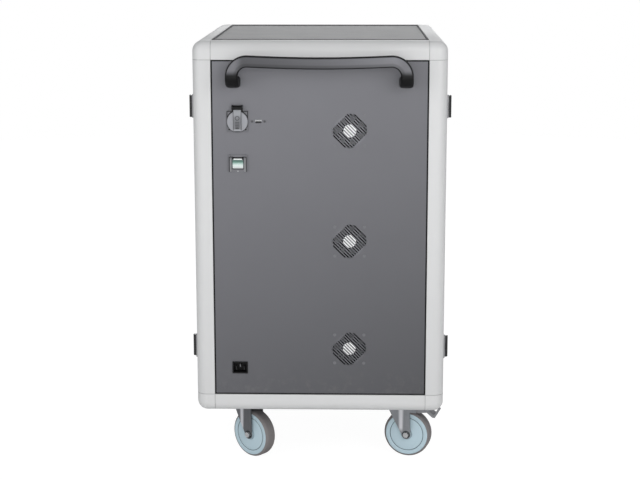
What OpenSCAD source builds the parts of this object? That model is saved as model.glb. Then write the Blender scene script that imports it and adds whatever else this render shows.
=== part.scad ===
// Charging cart for laptops: a rounded profile frame with inset steel panels, a door on each long
// side, three fans and the sockets on the handle end, and four swivel casters.
// The origin lies on the floor, under the middle of the whole outline, push handle included.
// +Z is up, -Y is the handle end, +X is the side of the laptop door. All sizes are millimetres.

/* [Cart] */
// Width across the two side doors
cart_w = 610; // [580:5:700]
// Length from the handle end to the far end, without the handle
cart_l = 680; // [660:5:900]
// Height above the floor
cart_h = 1073; // [1060:1:1200]

/* [Frame] */
// Width and depth of a frame post or rail
rail_w = 45; // [40:1:55]
// Rounding radius of the outer edges
edge_r = 25; // [15:1:32]
// Wall of the hollow posts and rails
rail_wall = 2.5; // [1.5:0.5:4]
// Gap between the frame and each panel or door
panel_gap = 3.5; // [2.5:0.5:5]

/* [Panels] */
// Sheet thickness of the panels and doors
sheet_t = 1.5; // [1:0.1:2]
// Depth of the folded edge of a fixed panel
panel_fold = 15; // [10:1:20]
// How far a panel's face lies behind the frame's face
panel_recess = 1.5; // [0.5:0.5:3]
// Thickness of the base plate
base_t = 4; // [3:0.5:6]

/* [Doors] */
// Depth of a door's folded edge
door_fold = 20; // [15:1:22]
// Height of the middle of the lower hinge above the floor
hinge_low_z = 315; // [290:1:340]
// Distance of the middle of the upper hinge below the top
hinge_drop = 160; // [143:1:193]
// Height of a hinge
hinge_h = 53; // [45:1:60]
// Radius of a hinge's barrel
barrel_r = 5.5; // [4.5:0.5:6]
// Length of a lock's plate
lock_h = 120; // [100:1:140]

/* [Interior] */
// Place of the wall between the laptop bays and the charger side
wall_x = -135; // [-150:1:-120]
// Extra height of the top tier over the others
top_room = 58; // [50:1:80]
// Laptop bays on one shelf
bays = 8; // [6:1:9]
// Height of a divider
divider_h = 215; // [150:5:225]

/* [Handle] */
// How far the handle stands out from the frame
handle_reach = 62; // [50:1:80]
// Distance between the middles of the handle's feet
handle_span = 412; // [340:2:420]
// Height of the middle of the grip below the top
grip_drop = 44; // [35:1:50]
// Depth of the grip, front to back
grip_depth = 22; // [18:1:28]
// Height of the grip
grip_h = 28; // [20:1:30]

/* [Fittings] */
// Distance of the socket, the switch and the inlet from the cart's middle
fitting_x = 197; // [185:1:205]
// Distance of the lidded socket below the top
socket_drop = 192; // [183:1:213]
// Radius of the socket's lid
lid_r = 25; // [24:0.5:28]
// Distance of the power switch below the top
switch_drop = 293; // [283:1:323]
// Height of the mains inlet
inlet_z = 270; // [250:1:300]
// Distance from the socket to the data port
port_dx = 50; // [45:0.5:60]

/* [Fans] */
// Distance of the fans from the cart's middle
fan_x = 72; // [60:1:90]
// Height of the lowest fan
fan_low_z = 318.5; // [300:0.5:330]
// Side of a fan
fan_w = 80; // [70:1:90]
// Width of one slot of a vent
slot_w = 3.3; // [2:0.1:3.6]
// Slots in one vent
slots = 13; // [9:2:15]

/* [Casters] */
// Diameter of a wheel
wheel_d = 120; // [115:1:125]
// Width of a tyre
tyre_w = 35; // [26:1:36]
// Height of the cabinet's underside above the floor
floor_clear = 156; // [154:1:175]
// Distance of a caster's upright axis from the cart's middle, across
caster_x = 195; // [180:1:200]
// Distance of a caster's upright axis from the end of the cart
caster_inset = 139.5; // [100:0.5:142]
// How far a wheel trails behind its upright axis
caster_trail = 30; // [25:1:36]

/* [Hidden] */

$fn = 64;
frame_grey = [0.80, 0.80, 0.80];
panel_grey = [0.32, 0.32, 0.34];
zinc_grey = [0.66, 0.67, 0.69];
hub_blue = [0.68, 0.77, 0.81];
tyre_grey = [0.45, 0.43, 0.43];
soft_black = [0.07, 0.07, 0.08];
lid_grey = [0.62, 0.63, 0.65];

// Shared clearances
over = 1;
run_fit = 0.05;
loose_fit = 0.3;
swing_gap = 0.5;

// The cabinet's middle stands back by half the handle's reach
mid_y = handle_reach / 2;
face_y = cart_l / 2;
side_x = cart_w / 2;
bay_top_z = cart_h - rail_w;
bay_low_z = floor_clear + rail_w;
opening_x = side_x - rail_w;
opening_y = face_y - rail_w;
panel_y = face_y - panel_recess;
panel_back_y = panel_y - sheet_t;
floor_z = floor_clear + base_t;
seal_proud = 1.2;

// Plugs of the corner blocks in the hollow profiles
spigot_l = 30;
spigot_fit = 0.2;

// Doors and hinges
door_recess = 2;
door_x = side_x - door_recess;
door_w = 2 * (opening_y - panel_gap);
leaf_t = 3;
leaf_reach = 19;
leaf_x = side_x + leaf_t;
barrel_x = side_x + barrel_r + swing_gap;
barrel_y = -opening_y + panel_gap / 2;
pin_r = 2.5;
pin_head_r = 4;
pin_head_t = 2;
knuckle_share = 1 / 3;
knuckle_gap = 0.4;
stop_w = 15;
stop_t = 4;
stop_x = door_x - door_fold - loose_fit - stop_t;
hinge_high_z = cart_h - hinge_drop;

// Door locks
lock_z = (bay_top_z + bay_low_z) / 2;
lock_y_inset = 50;
lock_y = opening_y - lock_y_inset;
lock_w = 38;
lock_t = 4;
lock_knob_l = 74;
lock_knob_w = 15;
lock_knob_t = 7;
lock_disc_r = 15;
lock_disc_t = 3;
lock_shaft_r = 6;
cam_l = 44;
cam_w = 16;
cam_t = 4;
cam_gap = 3;
cam_x = stop_x - cam_gap - cam_t;
key_r = 5;
key_t = 1.5;

// Door vents
door_vent_r = 36;
door_vent_z = 262;
door_vent_y = 130;

// Interior
wall_t = 1.5;
foot_w = 20;
window_side = 25;
window_low = 48;
shelf_t = 1.5;
shelf_lip = 18;
shelf_gap = 3;
shelf_x = stop_x - shelf_gap - cam_t - cam_gap;
tier_0_z = floor_z;
tiers = 3;
tier_h = (bay_top_z - tier_0_z - top_room) / tiers;
divider_t = 3;
divider_d = 330;
divider_set_back = 20;
divider_slope_w = 70;
divider_slope_h = 110;

// Charger side
strip_l = 520;
strip_w = 54;
strip_d = 40;
strip_drop = 80;
strip_z = tier_h - strip_drop;
window_high = strip_z - strip_w / 2 - shelf_gap;
outlet_r = 19.5;
outlet_dish = 3;
outlets = 8;
tray_d = 128;
tray_lip = 25;
tray_rise = 44;
box_l = 210;
box_h = 70;
box_d = 60;
box_drop = 18;
box_z = bay_top_z - box_drop - box_h;
box_y = -150;

// Handle
foot_rise = 67;
foot_w_x = 34;
foot_h = 28;
leg_w = 30;
bow_drop = 4.5;
bend_r = 36;
grip_power = 4.5;
grip_sides = 24;
bend_steps = 9;
bar_steps = 14;
handle_screw_r = 3;
handle_screw_l = 14;

// Socket with its sprung lid
socket_z = cart_h - socket_drop;
socket_plate_w = 51;
socket_plate_t = 2.5;
socket_body_r = 21.8;
socket_body_d = 32;
socket_well_r = 19.5;
socket_well_d = 17;
socket_pin_hole_r = 2.5;
socket_pin_hole_d = 12;
socket_pin_dx = 9.5;
lid_t = 3;
lid_band_w = 19.5;
lid_band_t = 2.5;
lid_barrel_r = 5;
lid_barrel_w = 19.4;
lid_axis_dz = 34.3;
lid_pin_r = 1.6;
ear_t = 3.2;
ear_gap = 0.2;
ear_r = 5.2;
socket_face = face_y - panel_recess + socket_plate_t;
lid_axis_y = socket_face + lid_barrel_r + loose_fit;

// Data port beside the socket
port_w = 14.6;
port_h = 7.2;
port_wall = 0.9;
port_l = 17;
port_tongue_w = 11;
port_tongue_t = 1.9;
port_tongue_l = 12;
port_proud = 0.8;
port_flange_w = 40;
port_flange_h = 13;
port_flange_t = 2;
port_screw_dx = 15;
small_screw_r = 1.5;
small_head_r = 2.8;
small_head_t = 1.6;
small_screw_l = 6;

// Power switch in its shroud
switch_z = cart_h - switch_drop;
shroud_w = 43;
shroud_h = 41;
shroud_t = 2;
guard_w = 3;
guard_t = 5;
rocker_w = 26;
rocker_h = 26.4;
rocker_gap = 0.8;
rocker_swing_gap = 1.6;
rocker_tilt = 9;
rocker_back = 4;
rocker_r = 2;
rocker_axis_d = 5;
shroud_body_d = 24;
shroud_wall = 1.8;

// Mains inlet
inlet_w = 38;
inlet_h = 30;
inlet_t = 2;
inlet_body_d = 26;
inlet_well_w = 32;
inlet_well_h = 24;
inlet_well_d = 20;
inlet_pin_w = 2;
inlet_pin_h = 8;
inlet_pin_l = 15;
inlet_pin_dx = 9.5;
inlet_pin_dz = 3.5;

// Fans behind the end panel
fan_d = 25;
fan_bore_r = 37.5;
fan_screw_pitch = 71.5;
fan_screw_r = 2;
fan_screw_head_r = 3.8;
fan_screw_head_t = 1.4;
fan_nut_r = 3.9;
fan_nut_t = 3;
motor_r = 19.5;
motor_t = 3;
motor_recess = 1;
strut_w = 3.2;
strut_t = 3;
struts = 4;
strut_turn = 42;
rotor_gap = 0.6;
rotor_r = 36.5;
rotor_hub_r = 18.5;
rotor_l = 19;
rotor_shaft_r = 1.5;
blades = 7;
blade_t = 1.8;
blade_tilt = 38;
blade_share = 0.82;
vent_r = 41.5;
vent_flat = 33.3;
slot_pitch = 5.92;
vent_turn = 45;

// Casters
axle_z = wheel_d / 2;
wheel_r = wheel_d / 2;
shoulder_r = 9;
tyre_h = 5.5;
rim_r = wheel_r - tyre_h;
rim_inset = 1;
groove_r = 42.6;
groove_w = 1;
groove_t = 1.4;
boss_r = 13;
axle_r = 5;
fork_side_gap = 3;
fork_gap = tyre_w + 2 * fork_side_gap;
fork_t = 3;
hub_w = fork_gap - 2 * loose_fit;
head_r = 7.5;
head_t = 5.3;
nut_t = 6.5;
plate_l = 105;
plate_w = 85;
plate_t = 3.5;
plate_holes_l = 80;
plate_holes_w = 60;
plate_hole_r = 4.5;
bolt_r = 4;
race_r = 29;
race_t = 3;
king_r = 6;
king_head_r = 11;
king_head_t = 4.5;
plate_z = floor_clear - plate_t;
crown_top_z = plate_z - race_t - loose_fit;
crown_t = 5;
crown_r = 36.5;
crown_z = crown_top_z - crown_t;
leg_back_x = -26;
leg_front_x = 38;
leg_toe_r = 11.5;
leg_knee_x = -6;
leg_knee_z = 105;
web_z = crown_z - fork_t;
king_low_z = web_z - loose_fit - king_head_t;
lug_x = 56;
lug_low_z = 120;
pedal_pin_r = 3;
pedal_boss_r = 7;
pedal_x = 47;
pedal_rise = 11;
pedal_z = wheel_d + pedal_rise;
pedal_w = 30;
pedal_l = 70;
pedal_h = 22;
pedal_shares = [
    [0, 0.18], [0.53, -0.18], [0.76, -0.68], [0.87, -0.08], [0.94, -0.2], [0.8, -1],
    [0.71, -1], [0.5, -0.46], [0.27, -0.55], [0.21, -0.63], [0.04, -0.46]
];
heading_front_left = -39;
heading_front_right = -15.6;
heading_rear_left = -24;
heading_rear_right = -42;

function tier_z(i) = tier_0_z + i * tier_h;
function fan_z(i) = fan_low_z + i * tier_h;
function signed_power(v, p) = sign(v) * pow(abs(v), p);

// A square with its corner at the origin rounded to radius r
module rounded_square(w, r) {
    difference() {
        square(w);
        difference() {
            square(r);
            translate([r, r])
                circle(r);
        }
    }
}

// Hollow frame profile, with its rounded outer corner at the origin
module rail_profile() {
    difference() {
        rounded_square(rail_w, edge_r);
        translate([rail_wall, rail_wall])
            rounded_square(rail_w - 2 * rail_wall, edge_r - rail_wall);
    }
}

// One frame corner, with its rounded outer corner at the origin and plugs for the three profiles
module corner_block() {
    plug_w = rail_w - 2 * (rail_wall + spigot_fit);
    plug_r = edge_r - rail_wall;
    for (turn = [[0, 0, 0], [90, 0, 90], [0, -90, -90]])
        rotate(turn)
            union() {
                translate([0, 0, edge_r])
                    linear_extrude(rail_w - edge_r)
                        rounded_square(rail_w, edge_r);
                translate([rail_wall + spigot_fit, rail_wall + spigot_fit, rail_w - over])
                    linear_extrude(spigot_l + over)
                        rounded_square(plug_w, plug_r);
            }
    translate([edge_r, edge_r, 0])
        rotate([0, 0, 180])
            rotate_extrude(angle = 90)
                intersection() {
                    translate([0, edge_r])
                        circle(edge_r);
                    square(edge_r);
                }
}

// Repeats its children at the four upright edges of the cabinet, mirrored so that each faces out
module at_corners() {
    for (sx = [-1, 1])
        for (sy = [-1, 1])
            translate([0, mid_y, 0])
                scale([-sx, -sy, 1])
                    translate([-side_x, -face_y, 0])
                        children();
}

// Places its children in the cabinet's own frame, on its middle line
module in_cabinet() {
    translate([0, mid_y, 0])
        children();
}

// Puts children that are drawn for the +X side on the given side
module on_side(side) {
    in_cabinet()
        scale([side, 1, 1])
            children();
}

// A flat box between two corners
module block(low, high) {
    translate(low)
        cube(high - low);
}

// A shallow tray: a face of sheet with its edges folded back, face down at z = 0
module tray(w, h, fold, t) {
    translate([-w / 2, -h / 2, 0])
        difference() {
            cube([w, h, fold]);
            translate([t, t, t])
                cube([w - 2 * t, h - 2 * t, fold]);
        }
}

// A field of slanted slots, round but cut flat at the slots' ends, through a sheet that starts at z = 0
module vent_cut(radius, depth) {
    flat = vent_flat * radius / vent_r;
    intersection() {
        translate([0, 0, -over])
            cylinder(r = radius, h = depth + 2 * over);
        rotate([0, 0, vent_turn])
            for (i = [0 : slots - 1])
                translate([(i - (slots - 1) / 2) * slot_pitch - slot_w / 2, -flat, -over])
                    cube([slot_w, 2 * flat, depth + 2 * over]);
    }
}

// Lays drawings made in x and y upright in the handle end, with their z pointing into the cart
module on_front_face(y) {
    in_cabinet()
        translate([0, -y, 0])
            rotate([90, 0, 0])
                mirror([0, 0, 1])
                    children();
}

module posts() {
    color(frame_grey)
        at_corners()
            translate([0, 0, floor_clear + rail_w])
                linear_extrude(cart_h - floor_clear - 2 * rail_w)
                    rail_profile();
}

// A rail across one end, at the top or turned over for the bottom
module end_rail() {
    translate([-opening_x, -face_y, 0])
        rotate([90, 0, 90])
            linear_extrude(2 * opening_x)
                rail_profile();
}

module end_rails() {
    color(frame_grey)
        for (sy = [-1, 1])
            in_cabinet()
                scale([1, -sy, 1]) {
                    translate([0, 0, floor_clear])
                        end_rail();
                    translate([0, 0, cart_h])
                        mirror([0, 0, 1])
                            end_rail();
                }
}

// A rail along one side
module side_rail() {
    translate([-side_x, opening_y, 0])
        rotate([90, 0, 0])
            linear_extrude(2 * opening_y)
                rail_profile();
}

module side_rails() {
    color(frame_grey)
        for (side = [-1, 1])
            on_side(-side) {
                translate([0, 0, floor_clear])
                    side_rail();
                translate([0, 0, cart_h])
                    mirror([0, 0, 1])
                        side_rail();
            }
}

module corner_blocks() {
    color(frame_grey)
        at_corners() {
            translate([0, 0, floor_clear])
                corner_block();
            translate([0, 0, cart_h])
                mirror([0, 0, 1])
                    corner_block();
        }
}

module top_panel() {
    color(panel_grey)
        in_cabinet()
            translate([0, 0, cart_h - panel_recess])
                mirror([0, 0, 1])
                    tray(2 * (opening_x - panel_gap), 2 * (opening_y - panel_gap), panel_fold, sheet_t);
}

module base_panel() {
    color(panel_grey)
        difference() {
            in_cabinet()
                block([-opening_x, -opening_y, floor_clear], [opening_x, opening_y, floor_z]);
            at_casters()
                plate_hole_places()
                    translate([0, 0, floor_clear - over])
                        cylinder(r = plate_hole_r, h = base_t + 2 * over);
        }
}

// The folded tray that fills one end of the frame
module end_tray() {
    height = bay_top_z - bay_low_z - 2 * panel_gap;
    translate([0, (bay_top_z + bay_low_z) / 2, 0])
        tray(2 * (opening_x - panel_gap), height, panel_fold, sheet_t);
}

module end_panel_front() {
    color(panel_grey)
        on_front_face(panel_y)
            difference() {
                end_tray();
                for (i = [0 : tiers - 1])
                    translate([fan_x, fan_z(i), 0]) {
                        vent_cut(vent_r, sheet_t);
                        fan_screw_places()
                            translate([0, 0, -over])
                                cylinder(r = fan_screw_r + loose_fit, h = sheet_t + 2 * over);
                    }
                translate([-fitting_x, socket_z, -over])
                    cylinder(r = socket_body_r + loose_fit, h = sheet_t + 2 * over);
                translate([port_dx - fitting_x, socket_z, 0]) {
                    centred_cut(port_w + 2 * loose_fit, port_h + 2 * loose_fit, sheet_t);
                    port_screw_places()
                        translate([0, 0, -over])
                            cylinder(r = small_screw_r + loose_fit, h = sheet_t + 2 * over);
                }
                translate([-fitting_x, switch_z, 0])
                    centred_cut(switch_body_w() + 2 * loose_fit, switch_body_h() + 2 * loose_fit, sheet_t);
                translate([-fitting_x, inlet_z, 0])
                    centred_cut(inlet_body_w() + 2 * loose_fit, inlet_body_h() + 2 * loose_fit, sheet_t);
                handle_screw_places()
                    translate([0, 0, -over])
                        cylinder(r = handle_screw_r + loose_fit, h = sheet_t + 2 * over);
            }
}

// A rectangular hole through a sheet that starts at z = 0
module centred_cut(w, h, depth) {
    translate([-w / 2, -h / 2, -over])
        cube([w, h, depth + 2 * over]);
}

module end_panel_rear() {
    color(panel_grey)
        in_cabinet()
            mirror([0, 1, 0])
                translate([0, -panel_y, 0])
                    rotate([90, 0, 0])
                        mirror([0, 0, 1])
                            end_tray();
}

// A rectangular ring that fills the gap round a panel, from one depth to another
module gap_ring(w, h, near, far) {
    translate([0, 0, near])
        linear_extrude(far - near)
            difference() {
                square([w, h], center = true);
                square([w - 2 * panel_gap, h - 2 * panel_gap], center = true);
            }
}

// Seals round both end panels, and one round the top panel that stands a little proud
module panel_seals() {
    ring_z = (bay_top_z + bay_low_z) / 2;
    ring_h = bay_top_z - bay_low_z;
    ring_back = sheet_t + panel_fold / 2;
    color(soft_black) {
        on_front_face(panel_y)
            translate([0, ring_z, 0])
                gap_ring(2 * opening_x, ring_h, sheet_t, ring_back);
        in_cabinet()
            mirror([0, 1, 0])
                translate([0, -panel_y, ring_z])
                    rotate([90, 0, 0])
                        mirror([0, 0, 1])
                            gap_ring(2 * opening_x, ring_h, sheet_t, ring_back);
        in_cabinet()
            translate([0, 0, cart_h - panel_recess])
                mirror([0, 0, 1])
                    gap_ring(
                        2 * opening_x,
                        2 * opening_y,
                        -panel_recess - seal_proud,
                        ring_back
                    );
    }
}

// The handle's centre line and section: [middle, half width vector, half depth vector].
// Quarter ellipse out of the panel, quarter circle into the grip, then the bowed grip.
grip_z = cart_h - grip_drop;
foot_z = grip_z - foot_rise + foot_h / 2;
grip_y = -(face_y + handle_reach - grip_depth / 2);
foot_y = -panel_y;
foot_x = -handle_span / 2;
leg_z = grip_z - bend_r;
out_bend = [
    for (i = [0 : bend_steps - 1])
        let (
            a = 90 * i / bend_steps,
            s = i / bend_steps,
            w = foot_w_x + (leg_w - foot_w_x) * s,
            d = foot_h + (grip_depth - foot_h) * s
        )
        [
            [foot_x, foot_y + (grip_y - foot_y) * sin(a), foot_z + (leg_z - foot_z) * (1 - cos(a))],
            [w / 2, 0, 0],
            [0, sin(a), cos(a)] * d / 2
        ]
];
in_bend = [
    for (i = [0 : bend_steps - 1])
        let (
            a = 90 * i / bend_steps,
            w = leg_w + (grip_h - leg_w) * i / bend_steps
        )
        [
            [foot_x + bend_r * (1 - cos(a)), grip_y, leg_z + bend_r * sin(a)],
            [cos(a), 0, -sin(a)] * w / 2,
            [0, grip_depth / 2, 0]
        ]
];
grip_half = handle_span / 2 - bend_r;
grip_line = [
    for (i = [0 : bar_steps - 1])
        let (u = i / bar_steps)
        [
            [-grip_half * (1 - u), grip_y, grip_z - bow_drop * sin(90 * u)],
            [0, 0, -grip_h / 2],
            [0, grip_depth / 2, 0]
        ]
];
half_line = concat(out_bend, in_bend, grip_line);
half_last = len(half_line) - 1;
middle_ring = [[[0, grip_y, grip_z - bow_drop], [0, 0, -grip_h / 2], [0, grip_depth / 2, 0]]];
far_half = [
    for (i = [half_last : -1 : 0])
        let (r = half_line[i])
        [[-r[0][0], r[0][1], r[0][2]], [-r[1][0], r[1][1], r[1][2]], r[2]]
];
handle_line = concat(half_line, middle_ring, far_half);

// Tube of superellipse sections through the rings of a line, with flat ends
module swept_tube(line) {
    rings = len(line);
    points = [
        for (r = line)
            for (k = [0 : grip_sides - 1])
                let (a = 360 * k / grip_sides)
                r[0] + r[1] * signed_power(cos(a), 2 / grip_power)
                    + r[2] * signed_power(sin(a), 2 / grip_power)
    ];
    walls = [
        for (i = [0 : rings - 2])
            for (k = [0 : grip_sides - 1])
                let (
                    n = (k + 1) % grip_sides,
                    a = i * grip_sides + k,
                    b = i * grip_sides + n
                )
                each [[a, b, b + grip_sides], [a, b + grip_sides, a + grip_sides]]
    ];
    near_end = [for (k = [grip_sides - 1 : -1 : 0]) k];
    far_end = [for (k = [0 : grip_sides - 1]) (rings - 1) * grip_sides + k];
    polyhedron(points = points, faces = concat(walls, [near_end], [far_end]));
}

module push_handle() {
    color(soft_black)
        in_cabinet()
            swept_tube(handle_line);
}

// Repeats its children at the handle's two screws, in the handle end's plane
module handle_screw_places() {
    for (side = [-1, 1])
        translate([side * handle_span / 2, foot_z, 0])
            children();
}

module fan_screw_places() {
    for (sx = [-1, 1])
        for (sy = [-1, 1])
            translate([sx * fan_screw_pitch / 2, sy * fan_screw_pitch / 2, 0])
                children();
}

module port_screw_places() {
    for (side = [-1, 1])
        translate([side * port_screw_dx, 0, 0])
            children();
}

// Screws that show on the handle end, and the handle's two screws behind it
module panel_screws() {
    fan_screw_l = sheet_t + fan_d + fan_nut_t;
    color(zinc_grey)
        on_front_face(panel_y) {
            for (i = [0 : tiers - 1])
                translate([fan_x, fan_z(i), 0])
                    fan_screw_places() {
                        translate([0, 0, -fan_screw_head_t])
                            cylinder(r = fan_screw_head_r, h = fan_screw_head_t);
                        cylinder(r = fan_screw_r, h = fan_screw_l);
                        translate([0, 0, sheet_t + fan_d])
                            cylinder(r = fan_nut_r, h = fan_nut_t, $fn = 6);
                    }
            translate([port_dx - fitting_x, socket_z, 0])
                port_screw_places() {
                    translate([0, 0, -small_head_t])
                        cylinder(r = small_head_r, h = small_head_t);
                    cylinder(r = small_screw_r, h = small_screw_l);
                }
            handle_screw_places() {
                translate([0, 0, sheet_t])
                    cylinder(r = head_r, h = head_t, $fn = 6);
                translate([0, 0, -handle_screw_l])
                    cylinder(r = handle_screw_r, h = handle_screw_l + sheet_t);
            }
        }
}

module socket_housing() {
    color(soft_black)
        on_front_face(panel_y)
            translate([-fitting_x, socket_z, 0])
                difference() {
                    union() {
                        translate([-socket_plate_w / 2, -socket_plate_w / 2, -socket_plate_t])
                            cube([socket_plate_w, socket_plate_w, socket_plate_t]);
                        cylinder(r = socket_body_r, h = socket_body_d - socket_plate_t);
                        for (side = [-1, 1])
                            lid_ear(side);
                    }
                    translate([0, 0, -socket_plate_t - over])
                        cylinder(r = socket_well_r, h = socket_well_d + over);
                    for (side = [-1, 1])
                        translate([side * socket_pin_dx, 0, 0])
                            cylinder(r = socket_pin_hole_r, h = socket_well_d - socket_plate_t + socket_pin_hole_d);
                    translate([-socket_plate_w / 2, lid_axis_dz, lid_axis_y_in_face()])
                        rotate([0, 90, 0])
                            cylinder(r = lid_pin_r + run_fit, h = socket_plate_w);
                }
}

function lid_axis_y_in_face() = -(lid_axis_y - panel_y);

// One ear that carries the lid's pin, on the socket's plate
module lid_ear(side) {
    inner = lid_barrel_w / 2 + ear_gap;
    x0 = side > 0 ? inner : -inner - ear_t;
    translate([x0, 0, 0]) {
        translate([0, lid_axis_dz, lid_axis_y_in_face()])
            rotate([0, 90, 0])
                cylinder(r = ear_r, h = ear_t);
        translate([0, socket_plate_w / 2 - ear_r, -socket_plate_t])
            cube([ear_t, lid_axis_dz + ear_r / 2 + ear_r - socket_plate_w / 2, socket_plate_t]);
        translate([0, lid_axis_dz - ear_r, lid_axis_y_in_face()])
            cube([ear_t, 2 * ear_r, -lid_axis_y_in_face()]);
    }
}

module socket_lid() {
    lid_y = socket_face + loose_fit - panel_y;
    color(lid_grey)
        on_front_face(panel_y)
            translate([-fitting_x, socket_z, -lid_y - lid_t])
                union() {
                    cylinder(r = lid_r, h = lid_t);
                    translate([-lid_band_w / 2, -lid_r + lid_t, -lid_band_t])
                        cube([lid_band_w, lid_r - lid_t + lid_axis_dz - lid_barrel_r, lid_band_t + lid_t]);
                }
}

module socket_lid_barrel() {
    pin_l = lid_barrel_w + 2 * (ear_gap + ear_t);
    color(soft_black)
        on_front_face(panel_y)
            translate([-fitting_x, socket_z + lid_axis_dz, lid_axis_y_in_face()]) {
                rotate([0, 90, 0]) {
                    translate([0, 0, -lid_barrel_w / 2])
                        cylinder(r = lid_barrel_r, h = lid_barrel_w);
                    translate([0, 0, -pin_l / 2])
                        cylinder(r = lid_pin_r, h = pin_l);
                }
                translate([-lid_barrel_w / 2, -lid_barrel_r, -lid_barrel_r])
                    cube([lid_barrel_w, lid_barrel_r, 2 * lid_barrel_r]);
            }
}

module data_port() {
    color(zinc_grey)
        on_front_face(panel_y)
            translate([port_dx - fitting_x, socket_z, 0])
                union() {
                    difference() {
                        union() {
                            translate([-port_w / 2, -port_h / 2, -port_proud])
                                cube([port_w, port_h, port_l]);
                            translate([-port_flange_w / 2, -port_flange_h / 2, sheet_t])
                                cube([port_flange_w, port_flange_h, port_flange_t]);
                        }
                        translate([-port_w / 2 + port_wall, -port_h / 2 + port_wall, -port_proud - over])
                            cube([port_w - 2 * port_wall, port_h - 2 * port_wall, port_l - port_wall + over]);
                        port_screw_places()
                            cylinder(r = small_screw_r + run_fit, h = port_l);
                    }
                    translate([-port_tongue_w / 2, -port_tongue_t / 2, port_l - port_proud - port_tongue_l])
                        cube([port_tongue_w, port_tongue_t, port_tongue_l - port_wall]);
                }
}

function switch_body_w() = rocker_w + 2 * (rocker_gap + shroud_wall);
function switch_body_h() = rocker_h + 2 * (rocker_swing_gap + shroud_wall);

module switch_shroud() {
    color(soft_black)
        on_front_face(panel_y)
            translate([-fitting_x, switch_z, 0])
                difference() {
                    union() {
                        translate([-shroud_w / 2, -shroud_h / 2, -shroud_t])
                            cube([shroud_w, shroud_h, shroud_t]);
                        for (side = [-1, 1])
                            translate([side * (shroud_w - guard_w) / 2 - guard_w / 2, -shroud_h / 2, -guard_t])
                                cube([guard_w, shroud_h, guard_t]);
                        translate([-switch_body_w() / 2, -switch_body_h() / 2, 0])
                            cube([switch_body_w(), switch_body_h(), shroud_body_d]);
                    }
                    translate([-rocker_w / 2 - rocker_gap, -rocker_h / 2 - rocker_swing_gap, -shroud_t - over])
                        cube([
                            rocker_w + 2 * rocker_gap,
                            rocker_h + 2 * rocker_swing_gap,
                            shroud_t + shroud_body_d - shroud_wall + over
                        ]);
                    translate([-shroud_w / 2, 0, rocker_axis_d])
                        rotate([0, 90, 0])
                            cylinder(r = rocker_r + run_fit, h = shroud_w);
                }
}

// Rocker with a shallow V across its face, at rest with its upper half out
module switch_rocker() {
    mid = rocker_axis_d + shroud_t;
    edge = mid + rocker_h / 2 * tan(rocker_tilt);
    color([0.78, 0.84, 0.82])
        on_front_face(panel_y)
            translate([-fitting_x, switch_z, rocker_axis_d]) {
                rotate([-rocker_tilt, 0, 0])
                    translate([-rocker_w / 2, 0, 0])
                        rotate([90, 0, 90])
                            linear_extrude(rocker_w)
                                polygon([
                                    [-rocker_h / 2, -edge],
                                    [0, -mid],
                                    [rocker_h / 2, -edge],
                                    [rocker_h / 2 - rocker_r, rocker_back],
                                    [rocker_r - rocker_h / 2, rocker_back]
                                ]);
                rotate([0, 90, 0])
                    translate([0, 0, -switch_body_w() / 2])
                        cylinder(r = rocker_r, h = switch_body_w());
            }
}

function inlet_body_w() = inlet_well_w + 2 * shroud_wall;
function inlet_body_h() = inlet_well_h + 2 * shroud_wall;

module mains_inlet() {
    color(soft_black)
        on_front_face(panel_y)
            translate([-fitting_x, inlet_z, 0])
                difference() {
                    union() {
                        translate([-inlet_w / 2, -inlet_h / 2, -inlet_t])
                            cube([inlet_w, inlet_h, inlet_t]);
                        translate([-inlet_body_w() / 2, -inlet_body_h() / 2, 0])
                            cube([inlet_body_w(), inlet_body_h(), inlet_body_d]);
                    }
                    translate([-inlet_well_w / 2, -inlet_well_h / 2, -inlet_t - over])
                        cube([inlet_well_w, inlet_well_h, inlet_well_d + over]);
                }
}

module inlet_pins() {
    color(zinc_grey)
        on_front_face(panel_y)
            translate([-fitting_x, inlet_z, inlet_well_d - inlet_t - inlet_pin_l])
                for (place = [
                    [-inlet_pin_dx, -inlet_pin_dz],
                    [0, inlet_pin_dz],
                    [inlet_pin_dx, -inlet_pin_dz]
                ])
                    translate([place[0] - inlet_pin_w / 2, place[1] - inlet_pin_h / 2, 0])
                        cube([inlet_pin_w, inlet_pin_h, inlet_pin_l]);
}

// One fan's fixed part: the square frame, its struts and the motor's base, face at z = 0
module fan_frame() {
    difference() {
        translate([-fan_w / 2, -fan_w / 2, 0])
            cube([fan_w, fan_w, fan_d]);
        translate([0, 0, -over])
            cylinder(r = fan_bore_r, h = fan_d + 2 * over);
        fan_screw_places()
            translate([0, 0, -over])
                cylinder(r = fan_screw_r + run_fit, h = fan_d + 2 * over);
    }
    difference() {
        translate([0, 0, motor_recess]) {
            cylinder(r = motor_r, h = motor_t);
            intersection() {
                cylinder(r = fan_bore_r + over, h = strut_t);
                for (i = [0 : struts - 1])
                    rotate([0, 0, strut_turn + i * 360 / struts])
                        translate([0, -strut_w / 2, 0])
                            cube([fan_w, strut_w, strut_t]);
            }
        }
        translate([0, 0, motor_recess + motor_t / 2])
            cylinder(r = rotor_shaft_r + run_fit, h = motor_t);
    }
}

module fan_frames() {
    color(soft_black)
        for (i = [0 : tiers - 1])
            on_front_face(panel_back_y)
                translate([fan_x, fan_z(i), 0])
                    fan_frame();
}

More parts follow.
